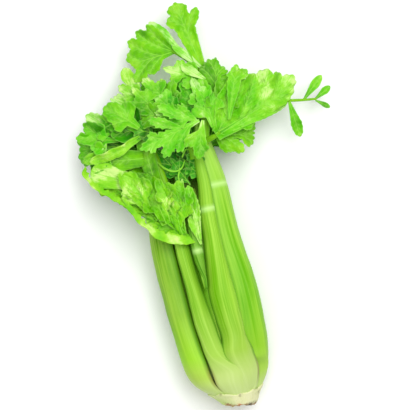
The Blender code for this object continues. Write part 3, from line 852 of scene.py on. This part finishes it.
# The solids and the blades that stand for each.
LEAVES = (
    # The wrinkled leaf that hangs over the stalks on the left, with its rolled rim.
    ("leaf_apron",
     Blade((-14, 150, 60), (-86, 228, 46), 52, (0.70, 0.72), 0.85, end=0.4, arch=5, fold=3, cut=0.3,
        pleat=2.2, lobes=((-27, 159, 18), (-41, 166, 22), (-51, 176, 24), (-60, 192, 24), (-71, 207, 24),
        (-84, 220, 24), (-25, 180, 18), (-30, 200, 20), (-42, 216, 22), (-56, 230, 22), (-74, 236, 20))),
     Blade((-19, 158, 61), (-62, 222, 55), 46, (0.74, 0.62), 0.8, end=0.5, arch=4, fold=3, ruffle=3.5,
        cut=0.4, pleat=3.4, lobes=((-30, 176, 18), (-42, 184, 20), (-52, 196, 20), (-62, 208, 18),
        (-27, 190, 18), (-34, 206, 20), (-48, 220, 20))),
     Blade((-22, 158, 62), (-26, 206, 58), 22, (0.66, 0.6), 0.9, pairs=1, end=0.8, fold=8, ruffle=3,
        cut=0.5, pleat=2.6, neck=0.4),
     Blade((-34, 170, 63), (-44, 216, 59), 24, (0.8, 0.66), 0.85, pairs=1, end=0.8, fold=4, curl=(30, 40),
        ruffle=3, cut=0.4, pleat=2.8, neck=0.4),
     Blade((-48, 186, 61), (-63, 226, 56), 24, (0.8, 0.68), 0.7, pairs=1, end=0.8, fold=4, curl=(30, 40),
        ruffle=3, cut=0.4, pleat=2.6, neck=0.4),
     Blade((-29, 182, 65), (-34, 212, 61), 13, (0.8, 0.8), 0.8, pairs=1, end=0.7, fold=12, curl=(50, 50),
        ruffle=2.5, cut=0.5, pleat=1.6, neck=0.4),
     Blade((-19, 172, 61), (-16, 206, 57), 14, (0.6, 0.6), 0.7, pairs=1, end=0.8, ruffle=2.5, cut=0.6,
        pleat=1.6),
     plain((-60, 214, 56), (-91, 230, 50), 24, (0.75, 0.85), 0.6, fold=3, ruffle=1.2, cut=0.2, pleat=0.5,
        neck=0.6),
     plain((-42, 232, 56), (-76, 236, 53), 20, (0.36, 0.42), 1.0, fold=2, ruffle=1.0, cut=0.1, neck=0.7),
     plain((-36, 198, 51), (-40, 256, 52), 15, (0.42, 0.36), 1.0, fold=-8, ruffle=0.3, cut=0.0, neck=0.8)),
    ("leaf_inner_frill",
     plain((-7.5, 146, 62.5), (-12, 174, 61), 8, (0.75, 0.8), 0.6, arch=1, fold=20, ruffle=1.5, cut=0.8),
     plain((-7, 150, 62), (-5.5, 194, 61), 8, (0.7, 0.85), 0.6, arch=1, fold=24),
     plain((-9, 164, 62), (-8, 200, 60), 10, (0.5, 0.7), 0.6, arch=1, fold=20, ruffle=1.5, cut=0.8)),
    # The cupped leaves at the far left. The largest is toned darkest at its base, as painted shade inside the
    # cup.
    ("leaf_far_left",
     Blade((-48, 246, 48), (-98, 252, 34), 46, (0.0, 0.52), 0.5, end=0.4, arch=5, fold=8, curl=(35, 35),
        ruffle=2.5, cut=0.6, lobes=((-85, 274, 17), (-95, 264, 15), (-98, 240, 17), (-88, 230, 17),
        (-66, 266, 18), (-68, 236, 16))),
     Blade((-56, 256, 52), (-85, 281, 42), 22, (0.6, 1.0), 0.2, pairs=1, end=0.6, fold=12, cut=0.7),
     Blade((-60, 252, 54), (-98, 263, 42), 20, (0.5, 0.7), 0.2, pairs=1, end=0.6, fold=14, cut=0.6),
     Blade((-60, 246, 54), (-96, 240, 44), 18, (0.45, 0.7), 0.6, pairs=1, end=0.6, fold=14, cut=0.5),
     plain((-41, 252, 60), (-90, 239, 52), 10, (0.8, 0.85), 0.8, arch=7, fold=0, roll=-28, ruffle=3.0,
        cut=0.4, pleat=1.0, neck=0.5),
     plain((-72, 252, 56), (-80, 238, 54), 6, (0.9, 1.0), 0.1, arch=1, ruffle=0.5, cut=0.2)),
    # The curled leaf: its lower blade is toned dark as painted shade inside the curl, and its upper rim pale
    # as a painted highlight.
    ("leaf_left_curl",
     Blade((-38, 256, 54), (-69, 280, 47), 34, (0.15, 0.45), 0.3, pairs=1, end=0.7, fold=8, curl=(50, 50),
        cut=0.5),
     Blade((-40, 259, 60), (-68, 284, 54), 22, (0.76, 0.66), 0.5, pairs=1, end=0.8, arch=5, fold=3,
        curl=(30, -20), roll=12, cut=0.6, pleat=0.8, neck=0.3),
     Blade((-42, 266, 52), (-60, 291, 48), 16, (0.6, 1.0), 0.2, pairs=1)),
    ("leaf_left_top",
     Blade((-34, 276, 47), (-57, 292, 42), 20, (0.45, 1.0), 0.3, pairs=1, end=0.6),
     Blade((-32, 284, 48), (-51, 301, 42), 16, (0.6, 1.0), pairs=1, end=0.6),
     Blade((-30, 274, 50), (-42, 296, 46), 18, (0.45, 0.7), 0.5, ruffle=2.5)),
    ("leaf_left_bud", plain((-37, 291, 41), (-43, 316, 36), 12, (0.8, 0.95), 0.7, arch=1, fold=8,
        ruffle=0.6, cut=0.2)),
    # The crowd of small leaves in the middle, toned dark at their bases and pale at their tips as painted
    # shade and light between them.
    ("leaf_centre_left",
     Blade((-4, 264, 58), (-22, 288, 54), 22, (0.2, 0.9), 0.1, fold=12, ruffle=3),
     Blade((-12, 262, 60), (-42, 274, 55), 22, (0.15, 0.8), 0.8, fold=12, ruffle=3),
     Blade((-20, 268, 57), (-39, 296, 52), 22, (0.15, 0.98), 0.6, fold=10, ruffle=3),
     Blade((-6, 270, 56), (-12, 299, 52), 20, (0.2, 0.8), 0.7, fold=10, ruffle=3),
     Blade((-24, 250, 56), (-52, 263, 54), 16, (0.2, 0.6), fold=10, ruffle=3),
     Blade((-12, 280, 54), (-28, 303, 50), 16, (0.4, 0.95), pairs=1, end=0.6, fold=12, ruffle=3),
     plain((-21, 259, 62), (-28, 265, 61), 7, (1.0, 1.1), 1.0, arch=1.5, ruffle=0.5, cut=0.1, neck=0.6)),
    ("leaf_front",
     Blade((14, 254.5, 70), (-43, 240, 66), 40, (0.72, 0.68), 0.2, end=0.30, fold=10, point=0.9, cut=1.1,
        pleat=0.6, lobes=((-34, 251, 9), (-23, 229, 11), (-11, 231, 11), (-34, 235, 7), (-20, 275, 12),
        (-6, 271, 11), (-30, 264, 10))),
     Blade((10, 257, 68), (-24, 270, 63), 20, (0.65, 0.75), 0.2, fold=12, point=1.0, cut=1.2)),
    ("leaf_front_lobe", Blade((17, 254, 73), (6, 221, 70), 20, (0.74, 0.7), 0.5, end=0.6, fold=8,
        ruffle=1.5, point=0.5, cut=0.7, lobes=((-3, 235, 11), (14, 226, 10)))),
    ("leaf_middle",
     Blade((24, 291, 52), (-8, 308, 52), 22, (0.75, 0.8), fold=10, ruffle=2.5),
     Blade((24, 284, 52), (0, 296, 50), 18, (0.6, 0.75), 0.5, fold=10, ruffle=2.5),
     plain((27, 290, 56), (8, 307, 55), 9, (1.0, 0.95), 0.3, arch=1.5, fold=14, ruffle=1, cut=0.5),
     Blade((18, 260, 58), (4, 292, 53), 22, (0.15, 0.8), 0.2, fold=12, ruffle=3),
     Blade((22, 262, 58), (15, 294, 56), 14, (0.7, 0.9), 0.1, pairs=1, end=0.6, fold=14)),
    ("leaf_top_centre",
     Blade((28, 246, 58), (40, 307, 48), 28, (0.6, 0.4), 0.8, fold=-8, ruffle=2.5, lobes=((25, 301, 13),
        (33, 306, 13), (46, 298, 12), (18, 288, 13), (48, 284, 12), (22, 274, 12))),
     Blade((26, 242, 62), (22, 292, 57), 20, (0.8, 0.65), 0.3, pairs=1, end=0.8, fold=12, cut=0.6,
        pleat=0.8),
     Blade((32, 244, 60), (44, 294, 53), 18, (0.65, 0.5), 0.8, pairs=1, end=0.8, fold=12, cut=0.6,
        pleat=0.8)),
    # The dark hollow between the stalks' tops: most of its blades are toned dark as painted shade.
    ("leaf_shadow_left",
     Blade((-11, 208, 44), (-30, 238, 41), 20, (0.08, 0.3), 0.15),
     Blade((-6, 200, 46), (-19, 228, 45), 15, (0.12, 0.38), 0.15),
     Blade((-18, 186, 54), (-12, 207, 53), 10, (0.5, 0.8), 0.5, pairs=1, ruffle=1.5)),
    ("leaf_shadow_right",
     Blade((-1, 212, 43), (-3, 250, 43), 18, (0.08, 0.3), 0.1, pairs=3),
     Blade((6, 206, 46), (-9, 223, 47), 12, (0.35, 0.55), 0.1),
     Blade((6, 212, 47), (0, 236, 48), 12, (0.2, 0.42), 0.15)),
    # The leaves on the right. The big one's paler tip is partly a painted highlight, and so is the pale strip
    # along its lower edge, which is also its pale midrib band.
    ("leaf_right",
     Blade((25, 240, 60), (103, 268, 38), 46, (0.64, 0.8), 0.5, end=0.5, arch=6, curl=(-25, 0), ruffle=2.2,
        cut=0.5, pleat=1.3, neck=0.6, lobes=((56, 290, 19), (69, 285, 17), (82, 287, 19), (94, 282, 16),
        (105, 277, 15), (78, 254, 16), (60, 243, 17), (96, 258, 12), (44, 278, 18), (60, 268, 20),
        (78, 272, 18))),
     plain((27, 237, 61), (95, 255, 40), 11, (0.85, 0.75), 0.3, arch=7, fold=4, roll=-8, ruffle=1.6,
        cut=0.4)),
    ("leaf_right_lobe", Blade((40, 250, 65), (57, 297, 58), 20, (0.65, 0.75), end=0.6, fold=10, ruffle=1.5,
        cut=0.6, lobes=((50, 292, 10), (65, 290, 10)))),
    ("leaf_right_low", Blade((25, 238, 55), (60, 234, 46), 22, (0.45, 0.6), 1.0, ruffle=2.5,
        lobes=((34, 222, 11), (46, 220, 12), (57, 225, 12), (61, 243, 10)))),
    ("leaf_top", Blade((26, 302, 46), (14, 365, 37), 34, (0.62, 0.76), 0.8, end=0.55, fold=8, ruffle=1.4,
        cut=0.6, pleat=0.8, neck=0.42, lobes=((5, 351, 14), (9, 362, 12), (20, 363, 11), (32.5, 355, 10)))),
    ("leaf_fan", Blade((6, 321, 43), (-36, 318, 35), 38, (0.5, 0.65), 0.8, end=0.4, fold=8, ruffle=2.2,
        cut=0.7, lobes=((-34, 301, 13), (-38, 328, 14), (-35, 339, 13), (-26, 346, 12), (-13, 349, 11),
        (-20, 306, 11)))),
    # Two strips on the fan's folded edge, toned palest: the pale fold with painted highlight on it.
    ("leaf_fan_fold",
     plain((12, 319, 44), (-12, 352, 38), 10, (1.0, 0.9), 0.1, arch=1, fold=4, roll=20, ruffle=1, cut=0.3),
     plain((28, 299, 50), (4, 326, 47), 8, (1.0, 1.0), 0.1, arch=1, fold=4, roll=20, ruffle=1, cut=0.2)),
    ("sprig_leaf_up", plain((111, 254.8, 32), (131, 273, 27), 8, (0.5, 0.9), arch=1, ruffle=0.5, cut=0.2)),
    ("sprig_leaf_end", plain((121, 253, 28), (137, 262, 24), 6.5, (0.3, 0.6), arch=1, ruffle=0.5, cut=0.2)),
    ("sprig_leaf_low", plain((121, 252, 28), (133, 243, 24), 4.5, (0.2, 0.4), arch=1, ruffle=0.5, cut=0.2)),
    ("sprig_leaf_down", plain((97, 256, 37.5), (101, 223, 24), 10, (0.6, 0.75), arch=2, fold=12, ruffle=1,
        cut=0.4)),
    # The leaves behind and under the rest. The middle layer's blades are toned darker as painted shade.
    ("leaf_mid_left", Blade((-37, 218, 36), (-82, 266, 26), 38, (0.2, 0.4), pairs=3, ruffle=3)),
    ("leaf_mid_top", Blade((6, 230, 34), (2, 294, 26), 38, (0.2, 0.4), pairs=4, ruffle=3)),
    ("leaf_mid_right", Blade((16, 236, 30), (60, 276, 22), 32, (0.2, 0.4), pairs=3, ruffle=3)),
    ("leaf_mid_left",
     Blade((-36, 214, 38), (-76, 244, 44), 26, (0.2, 0.5), pairs=3, roll=35, ruffle=3),
     Blade((-34, 222, 30), (-62, 262, 16), 28, (0.2, 0.5), pairs=3, roll=-25, ruffle=3),
     Blade((-30, 226, 34), (-54, 276, 36), 26, (0.2, 0.5), pairs=3, roll=30, ruffle=3)),
    ("leaf_mid_top",
     Blade((2, 236, 30), (-20, 290, 20), 28, (0.2, 0.5), pairs=3, roll=30, ruffle=3),
     Blade((12, 238, 32), (26, 290, 34), 28, (0.2, 0.5), pairs=3, roll=-30, ruffle=3)),
    ("leaf_mid_right",
     Blade((18, 232, 32), (58, 262, 34), 24, (0.2, 0.5), pairs=3, roll=-30, ruffle=3),
     Blade((20, 240, 30), (50, 284, 18), 24, (0.2, 0.5), pairs=3, roll=30, ruffle=3)),
    ("leaf_under_left", Blade((-30, 206, 12), (-82, 262, 3), 42, pairs=3, arch=5, fold=0)),
    ("leaf_under_middle", Blade((-18, 228, 9), (-28, 308, 3), 36, pairs=4, arch=5, fold=0)),
    ("leaf_under_right", Blade((8, 236, 9), (30, 308, 3), 34, pairs=4, arch=5, fold=0)),
    ("leaf_under_far_right", Blade((16, 228, 13), (64, 258, 3), 26, pairs=3, arch=5, fold=0)),
)

# The step between a blade's points and how far they stray, its thickness, and the length of its teeth.
CELL = 2.2
STRAY = 0.2
THICKNESS = 0.45
TOOTH = 7.2
# Veins with a radius over this are raised.
RAISED = 0.2
VEIN_SIDES = 5
# No blade's top comes nearer to the table than this.
LEAST_HEIGHT = 0.5


def lobe_outline(root, tip, width, point, cut, neck, rng):
    """A lobe laid flat: a wedge with plain sides and a round end, cut into a few teeth."""
    way = tip - root
    length = float(np.linalg.norm(way))
    way = way / length
    side = np.array([-way[1], way[0]])
    waist = 0.60
    body = np.linspace(0, waist, max(8, int(length * waist / 0.9)))
    end = waist + (1 - waist) * np.sin(np.linspace(0.04, 1.5, max(10, int(width * 1.3))))
    share = np.concatenate([body, end])
    past = np.clip((share - waist) / (1 - waist), 0, 1)
    half = np.where(share < waist, neck + (1 - neck) * (share / waist) ** 1.1, np.sqrt(1 - past**2.1))
    half = np.maximum(half * width / 2, 0.25)
    left = root + np.outer(share * length, way) + np.outer(half, side)
    right = root + np.outer(share * length, way) - np.outer(half, side)
    loop = np.vstack([left, right[::-1]])
    after = np.roll(loop, -1, axis=0) - np.roll(loop, 1, axis=0)
    out = np.stack([-after[:, 1], after[:, 0]], axis=1)
    out /= np.maximum(np.linalg.norm(out, axis=1, keepdims=True), 1e-6)
    if ((loop - loop.mean(axis=0)) * out).sum() < 0:
        out = -out
    run = np.concatenate([[0], np.cumsum(np.linalg.norm(np.diff(loop, axis=0), axis=1))])
    run = np.abs(run - (run[len(left) - 1] + run[len(left)]) / 2)
    step = TOOTH * min(1.0, 0.4 + width / 26)
    beat = ((run + step / 2) / step + rng.uniform(-0.1, 0.1)) % 1.0
    round_tooth = np.sin(math.pi * beat) ** 0.7 - 0.6
    sharp_tooth = np.minimum(beat / 0.3, (1 - beat) / 0.7) - 0.55
    tooth = round_tooth * (1 - point) + sharp_tooth * 1.3 * point
    fade = np.clip((np.concatenate([share, share[::-1]]) - 0.30) / 0.22, 0, 1)
    size = cut * 1.7 * min(1.0, width / 14)
    return loop + (out + way * 0.5 * point) * (tooth * fade * size)[:, None]


def leaf_frame(leaf):
    """A blade's base, and its directions along, across and away from itself."""
    base = place(leaf.base)
    along = (place(leaf.tip) - base).normalized()
    level = Vector((0, 0, 1)).cross(along).normalized()
    upright = along.cross(level)
    roll = math.radians(leaf.roll)
    across = level * math.cos(roll) + upright * math.sin(roll)
    return base, along, across, along.cross(across)


def lobes_of(leaf, length, rng):
    """Each lobe's root and tip on the flat blade, and its width. The first is the end lobe."""
    lobes = [(np.zeros(2), np.array([length, 0.0]), max(4.0, leaf.width * leaf.end))]
    spots = []
    if leaf.lobes:
        _, along, across, _ = leaf_frame(leaf)
        flat = np.array([[along.x, across.x], [along.y, across.y]])
        for x, y, width in leaf.lobes:
            u, v = np.linalg.solve(flat, np.array([x - leaf.base[0], y - leaf.base[1]]))
            spots.append((u, v, width))
    else:
        for k in range(leaf.pairs):
            share = (k + 0.5) / leaf.pairs
            u = length * (0.30 + 0.56 * share)
            v = leaf.width / 2 * math.sin(math.pi * (0.22 + 0.60 * share)) ** 0.7
            width = 0.38 * length / leaf.pairs + 4
            for way in (-1, 1):
                spots.append((u + rng.uniform(-1, 1), way * v * rng.uniform(0.85, 1.1), width))
    for u, v, width in spots:
        root = min(max(u - abs(v) * 1.25, 0.03 * length), 0.75 * length)
        lobes.append((np.array([root, 0.0]), np.array([u, v]), width))
    return lobes


def vein_lines(lobes):
    """The veins on the flat blade: one down the middle of each lobe, and small ones towards its teeth."""
    lines = []
    for k, (root, tip, width) in enumerate(lobes):
        way = tip - root
        reach = float(np.linalg.norm(way))
        way = way / reach
        side = np.array([-way[1], way[0]])
        bow = 0.0 if k == 0 else 0.06 * reach * (1 if tip[1] > 0 else -1)
        share = np.linspace(0, 0.94, max(4, int(reach / 3)))
        main = root + np.outer(share * reach, way) - np.outer(np.sin(share * math.pi) * bow, side)
        lines.append((main, np.linspace(0.62 if k == 0 else 0.36, 0.15, len(main))))
        for s in np.arange(0.30, 0.86, max(0.1, 5.0 / reach)):
            start = root + way * s * reach - side * math.sin(s * math.pi) * bow
            arm = width * 0.42 * (1 - 0.35 * abs(s - 0.6) / 0.4)
            for turn in (-1, 1):
                end = start + (way * 0.86 + side * turn * 0.51) * arm
                bent = (start + end) / 2 + way * 0.4
                lines.append((np.array([start, bent, end]), np.full(3, 0.1)))
    return lines


def near_lines(points, lines):
    """For each flat point: how far it is from the nearest line, on which side, and how far along it."""
    starts = np.vstack([line[:-1] for line in lines])
    ways = np.vstack([line[1:] - line[:-1] for line in lines])
    begun = np.concatenate([np.cumsum(np.linalg.norm(np.diff(line, axis=0), axis=1)) for line in lines])
    best = np.full(len(points), 1e9)
    side, along = np.zeros(len(points)), np.zeros(len(points))
    for start, way, run in zip(starts, ways, begun):
        size = float(np.linalg.norm(way))
        gap = points - start
        t = np.clip((gap @ way) / size**2, 0, 1)
        away = np.linalg.norm(gap - t[:, None] * way, axis=1)
        nearer = away < best
        best[nearer] = away[nearer]
        side[nearer] = np.sign(way[0] * gap[nearer, 1] - way[1] * gap[nearer, 0])
        along[nearer] = run - size + t[nearer] * size
    return best, side, along


def raise_flat(leaf, points, main, veins, margin, lobes, seed):
    """Bends flat points into the blade's own shape."""
    rng = np.random.default_rng(seed + 500)
    base, along, across, normal = leaf_frame(leaf)
    length = (place(leaf.tip) - base).length
    u, v = points[:, 0], points[:, 1]
    height = leaf.arch * 4 * (u / length) * (1 - u / length)
    height = height + math.tan(math.radians(leaf.fold)) * (np.sqrt(v**2 + 4) - 2)
    flat_v = v.copy()
    for sign, curl in zip((-1, 1), leaf.curl):
        if not curl:
            continue
        start = leaf.width * 0.18
        rate = math.radians(curl) / (leaf.width * 0.5 - start)
        beyond = np.maximum(v * sign - start, 0)
        flat_v = np.where(beyond > 0, sign * (start + np.sin(beyond * abs(rate)) / abs(rate)), flat_v)
        height = height + np.sign(rate) * (1 - np.cos(beyond * abs(rate))) / abs(rate)
    for root, tip, width in lobes[1:]:
        way = tip - root
        reach = float(np.linalg.norm(way))
        t = np.clip(((points - root) @ way) / reach**2, 0, 1.2)
        off = np.linalg.norm(points - root - t[:, None] * way, axis=1)
        height = height + rng.uniform(-0.22, 0.22) * reach * t**2 * np.exp(-((off / (0.55 * width)) ** 2))
    height += 0.26 * np.minimum(main, 7)
    edge = np.clip(1.3 - margin / 7, 0.15, 1.3)
    wave, small_wave = (
        np.array([noise.noise(Vector((a / size, b / size, seed * turn))) for a, b in points])
        for size, turn in ((13, 7.3), (6, 3.1))
    )
    height += (wave * 1.7 + small_wave * 0.3) * leaf.ruffle * edge
    if leaf.pleat:
        spread = 0.4 + 0.6 * np.clip(u / length, 0, 1)
        folds = [noise.noise(Vector((b / w / 3.2, a / 22, seed * 5.1))) for (a, b), w in zip(points, spread)]
        height += np.array(folds) * leaf.pleat * 2.4
    height -= 0.35 * np.exp(-((veins / 0.9) ** 2))
    rows = np.outer(u, along) + np.outer(flat_v, across) + np.outer(height, normal) + np.array(base)
    rows[:, 2] = np.maximum(rows[:, 2], LEAST_HEIGHT)
    return rows


def rim_distance(points, faces):
    """How far each flat point is from the blade's rim."""
    counts = {}
    for face in faces:
        for a, b in zip(face, face[1:] + face[:1]):
            key = (min(a, b), max(a, b))
            counts[key] = counts.get(key, 0) + 1
    rim = points[sorted({v for key, n in counts.items() if n == 1 for v in key})]
    batch = 400
    parts = (points[k : k + batch, None] - rim[None] for k in range(0, len(points), batch))
    return np.concatenate([np.linalg.norm(part, axis=2).min(axis=1) for part in parts])


def thicken(blade):
    """Turns a blade's face upwards, and gives it an underside and walls."""
    bm = bmesh.new()
    bm.from_mesh(blade)
    bm.normal_update()
    if sum(f.normal.z * f.calc_area() for f in bm.faces) < 0:
        bmesh.ops.reverse_faces(bm, faces=bm.faces)
        bm.normal_update()
    under = bm.verts.layers.float["under"]
    twins = {}
    for v in list(bm.verts):
        twin = bm.verts.new(v.co - v.normal * THICKNESS * MM)
        for layer in bm.verts.layers.float.values():
            twin[layer] = v[layer]
        twin[under] = 1.0
        twins[v] = twin
    added = [[twins[v] for v in reversed(f.verts[:])] for f in bm.faces]
    for e in bm.edges:
        if len(e.link_faces) == 1:
            loop = e.link_loops[0]
            a, b = loop.vert, loop.link_loop_next.vert
            added.append((b, a, twins[a], twins[b]))
    for corners in added:
        bm.faces.new(corners)
    bm.to_mesh(blade)
    bm.free()


def make_blade(leaf, seed):
    """A blade's mesh, with its teeth and thickness, and the tubes of its veins."""
    rng = np.random.default_rng(seed)
    length = (place(leaf.tip) - place(leaf.base)).length
    lobes = lobes_of(leaf, length, rng)
    outlines = [lobe_outline(*lobe, leaf.point, leaf.cut, leaf.neck, rng) for lobe in lobes]
    lines = vein_lines(lobes)
    flat, edges, rims, starts = [], [], [], []
    for loop in outlines:
        rims.append([len(flat) + k for k in range(len(loop))])
        flat.extend(loop)
    for line, _ in lines:
        starts.append(len(flat))
        edges.extend((len(flat) + k, len(flat) + k + 1) for k in range(len(line) - 1))
        flat.extend(line)
    low, high = np.min(flat, axis=0), np.max(flat, axis=0)
    grid = []
    for r, y in enumerate(np.arange(low[1], high[1], CELL * 0.87)):
        for x in np.arange(low[0] + (r % 2) * CELL / 2, high[0], CELL):
            grid.append((x + rng.uniform(-STRAY, STRAY), y + rng.uniform(-STRAY, STRAY)))
    corners = [Vector(p) for p in flat] + [Vector(p) for p in grid]
    # Faces are kept inside the lobes' outlines only.
    spots, _, faces, origins, *_ = delaunay_2d_cdt(corners, edges, rims, 1, 0.02)
    used = sorted({v for face in faces for v in face})
    renumber = {v: k for k, v in enumerate(used)}
    kept = {old: renumber[v] for v in used for old in origins[v]}
    points = np.array([tuple(spots[v]) for v in used])
    faces = [[renumber[v] for v in face] for face in faces]
    veins, _, _ = near_lines(points, [line for line, _ in lines])
    main, side, run = near_lines(points, [line for line, radius in lines if radius[0] > RAISED])
    margin = rim_distance(points, faces)
    shaped = raise_flat(leaf, points, main, veins, margin, lobes, seed)
    share = np.clip(np.hypot(points[:, 0], points[:, 1]) / length, 0, 1)
    # Tone runs from base to tip; darker bases and some paler tips are painted shade and painted highlight.
    tone = leaf.tone[0] + (leaf.tone[1] - leaf.tone[0]) * share
    marks = {"vein": veins, "margin": margin, "tone": tone, "warm": np.full(len(points), leaf.warm)}
    marks |= {"off": side * main + seed * 7.0, "run": run, "under": np.zeros(len(points))}
    blade = mesh_from("blade", shaped, faces, **marks)
    thicken(blade)
    blade.materials.append(BLADE)
    raised = []
    for start, (line, radius) in zip(starts, lines):
        rows = [shaped[kept[start + k]] for k in range(len(line)) if start + k in kept]
        if radius[0] > RAISED and len(rows) > 2:
            raised.append((rows, radius[: len(rows)] * min(1.0, 0.5 + leaf.width / 60)))
    return blade, tubes(raised, VEIN_SIDES, VEIN)


# Curled threads in the dark hollow: the solid each goes with, its radius, and its points.
TENDRILS = (
    ("leaf_shadow_left", 1.1,
     ((-31, 226, 50), (-25, 219, 54), (-18, 215, 55), (-11, 216, 55), (-6, 223, 50))),
    ("leaf_shadow_left", 0.9, ((-12, 217, 54), (-15, 208, 54), (-13, 198, 55), (-10, 190, 56))),
    ("leaf_shadow_right", 0.8, ((-8, 226, 52), (-3, 232, 53), (2, 228, 53), (4, 220, 52))),
)
THREAD_POINTS = 24
THREAD_SIDES = 8
RIM_POINTS = 200
RIM_SIDES = 18
# The rolled edge of the wrinkled leaf.
APRON_RIM = (
    (-12, 149, 64), (-22, 154, 68), (-33, 158.5, 69), (-42, 163.5, 69), (-50, 171, 68), (-57, 181, 67),
    (-62.5, 191, 66), (-70, 200, 65), (-80, 208, 63), (-89, 217, 60), (-95, 226, 56), (-95, 236, 50),
)


def make_rim(route, seed):
    """A blade's rolled edge: a soft, flattened, wrinkled roll along a line."""

    def waver(way, size, row):
        """Noise along the edge, a new one for each row."""
        return noise.noise(Vector((way / size, row, seed)))

    line = smooth_line(route, RIM_POINTS)
    run = np.concatenate([[0], np.cumsum(np.linalg.norm(np.diff(line, axis=0), axis=1))])
    sides = RIM_SIDES
    points, offs, runs = [], [], []
    for spot, way, s in zip(line, np.gradient(line, axis=0), run):
        side = Vector((way[1], -way[0], 0)).normalized()
        end = min(1.0, min(s, run[-1] - s) / 9 + 0.15)
        broad = 1.8 * math.exp(-(((s - 22) / 16) ** 2))
        wide = (1.9 + broad + 1.2 * waver(s, 10, 0)) * end
        deep = (0.6 + 0.2 * waver(s, 9, 3)) * end
        sway = 0.9 * waver(s, 11, 7) + 0.5 * waver(s, 4, 9)
        rise = 1.6 * waver(s, 6, 11)
        for k in range(sides):
            turn = 2 * math.pi * k / sides
            torn = 0.9 * waver(s, 3.0, 5) * max(0.0, math.cos(turn))
            out = math.cos(turn) * wide * (1 + torn if math.cos(turn) > 0 else 1.7) + sway
            up = math.sin(turn) * deep + rise - 0.10 * out * wide
            points.append(Vector(spot) + side * out + Vector((0, 0, up)))
            offs.append(seed * 9.0 + turn * 0.5)
            runs.append(s)
    faces = [tuple(range(sides)), tuple((len(line) - 1) * sides + k for k in range(sides))[::-1]]
    for a in range(0, (len(line) - 1) * sides, sides):
        for k in range(sides):
            after = (k + 1) % sides
            faces.append((a + k, a + sides + k, a + sides + after, a + after))
    even = {"vein": 9.0, "margin": 9.0, "tone": 0.76, "warm": 0.8, "under": 0.0}
    marks = {name: np.full(len(points), value) for name, value in even.items()}
    mesh = mesh_from("rim", points, faces, off=offs, run=runs, **marks)
    turn_outwards(mesh)
    mesh.materials.append(BLADE)
    return mesh


def join(name, meshes):
    """One mesh from several, keeping each one's materials."""
    bm = bmesh.new()
    materials, numbers = [], []
    for mesh in meshes:
        before = len(bm.faces)
        bm.from_mesh(mesh)
        bm.faces.ensure_lookup_table()
        material = mesh.materials[0]
        if material not in materials:
            materials.append(material)
        for f in bm.faces[before:]:
            f.material_index = materials.index(material)
            f.smooth = True
    whole = bpy.data.meshes.new(name)
    bm.to_mesh(whole)
    bm.free()
    for material in materials:
        whole.materials.append(material)
    return whole


grouped = {}
seed = 0
for node, *blades in LEAVES:
    for leaf in blades:
        seed += 1
        grouped.setdefault(node, []).extend(make_blade(leaf, seed))
for node, thick, route in TENDRILS:
    radii = np.linspace(thick, thick / 2, THREAD_POINTS)
    grouped[node].append(tubes([(smooth_line(route, THREAD_POINTS), radii)], THREAD_SIDES, VEIN))
grouped["leaf_apron"].append(make_rim(APRON_RIM, 3.0))
for node, meshes in grouped.items():
    finish_piece("celery_" + node, join(node, meshes), node)


# ---- stage


# Area lights: name, place, size and power.
LAMPS = (("key", (0.35, 0.45, 1.7), 1.2, 26), ("fill", (-1.0, -0.6, 1.5), 1.6, 8))
SKY = 0.45
TABLE_SIZE = 4
# The drawn point the camera looks at, how far off it is, the width it sees, and how the head is turned.
AIM = (3.2, 179.7, 50)
DISTANCE = 2.4
VIEW_WIDTH = 0.369
SENSOR = 36
TURNED = -12


def make_stage():
    """A plain white table, soft light from above, and a camera that looks straight down."""
    bpy.ops.mesh.primitive_plane_add(size=TABLE_SIZE)
    floor = bpy.context.object
    floor.name = "table"
    paint = Finish("table_white")
    speck = paint.noise(paint.where, 60.0, 2.0)
    paint.set(Base_Color=paint.mix(speck, (0.97, 0.97, 0.97, 1), (1.0, 1.0, 1.0, 1)), Roughness=0.7)
    floor.data.materials.append(paint.material)

    world = bpy.data.worlds.new("studio")
    bpy.context.scene.world = world
    world.use_nodes = True
    background = world.node_tree.nodes["Background"]
    background.inputs["Color"].default_value = (1, 1, 1, 1)
    background.inputs["Strength"].default_value = SKY

    for name, spot, size, power in LAMPS:
        lamp = bpy.data.lights.new(name, "AREA")
        lamp.size = size
        lamp.energy = power
        holder = bpy.data.objects.new(name, lamp)
        holder.location = spot
        holder.rotation_euler = (-Vector(spot)).to_track_quat("-Z", "Y").to_euler()
        bpy.context.scene.collection.objects.link(holder)

    lens = bpy.data.cameras.new("camera")
    lens.sensor_width = SENSOR
    lens.lens = SENSOR * DISTANCE / VIEW_WIDTH
    lens.clip_end = 20
    camera = bpy.data.objects.new("camera", lens)
    camera.location = place(AIM) * MM + Vector((0, 0, DISTANCE))
    camera.rotation_euler = (0, 0, math.radians(TURNED))
    bpy.context.scene.collection.objects.link(camera)
    bpy.context.scene.camera = camera
    bpy.context.scene.view_settings.view_transform = "Standard"


make_stage()
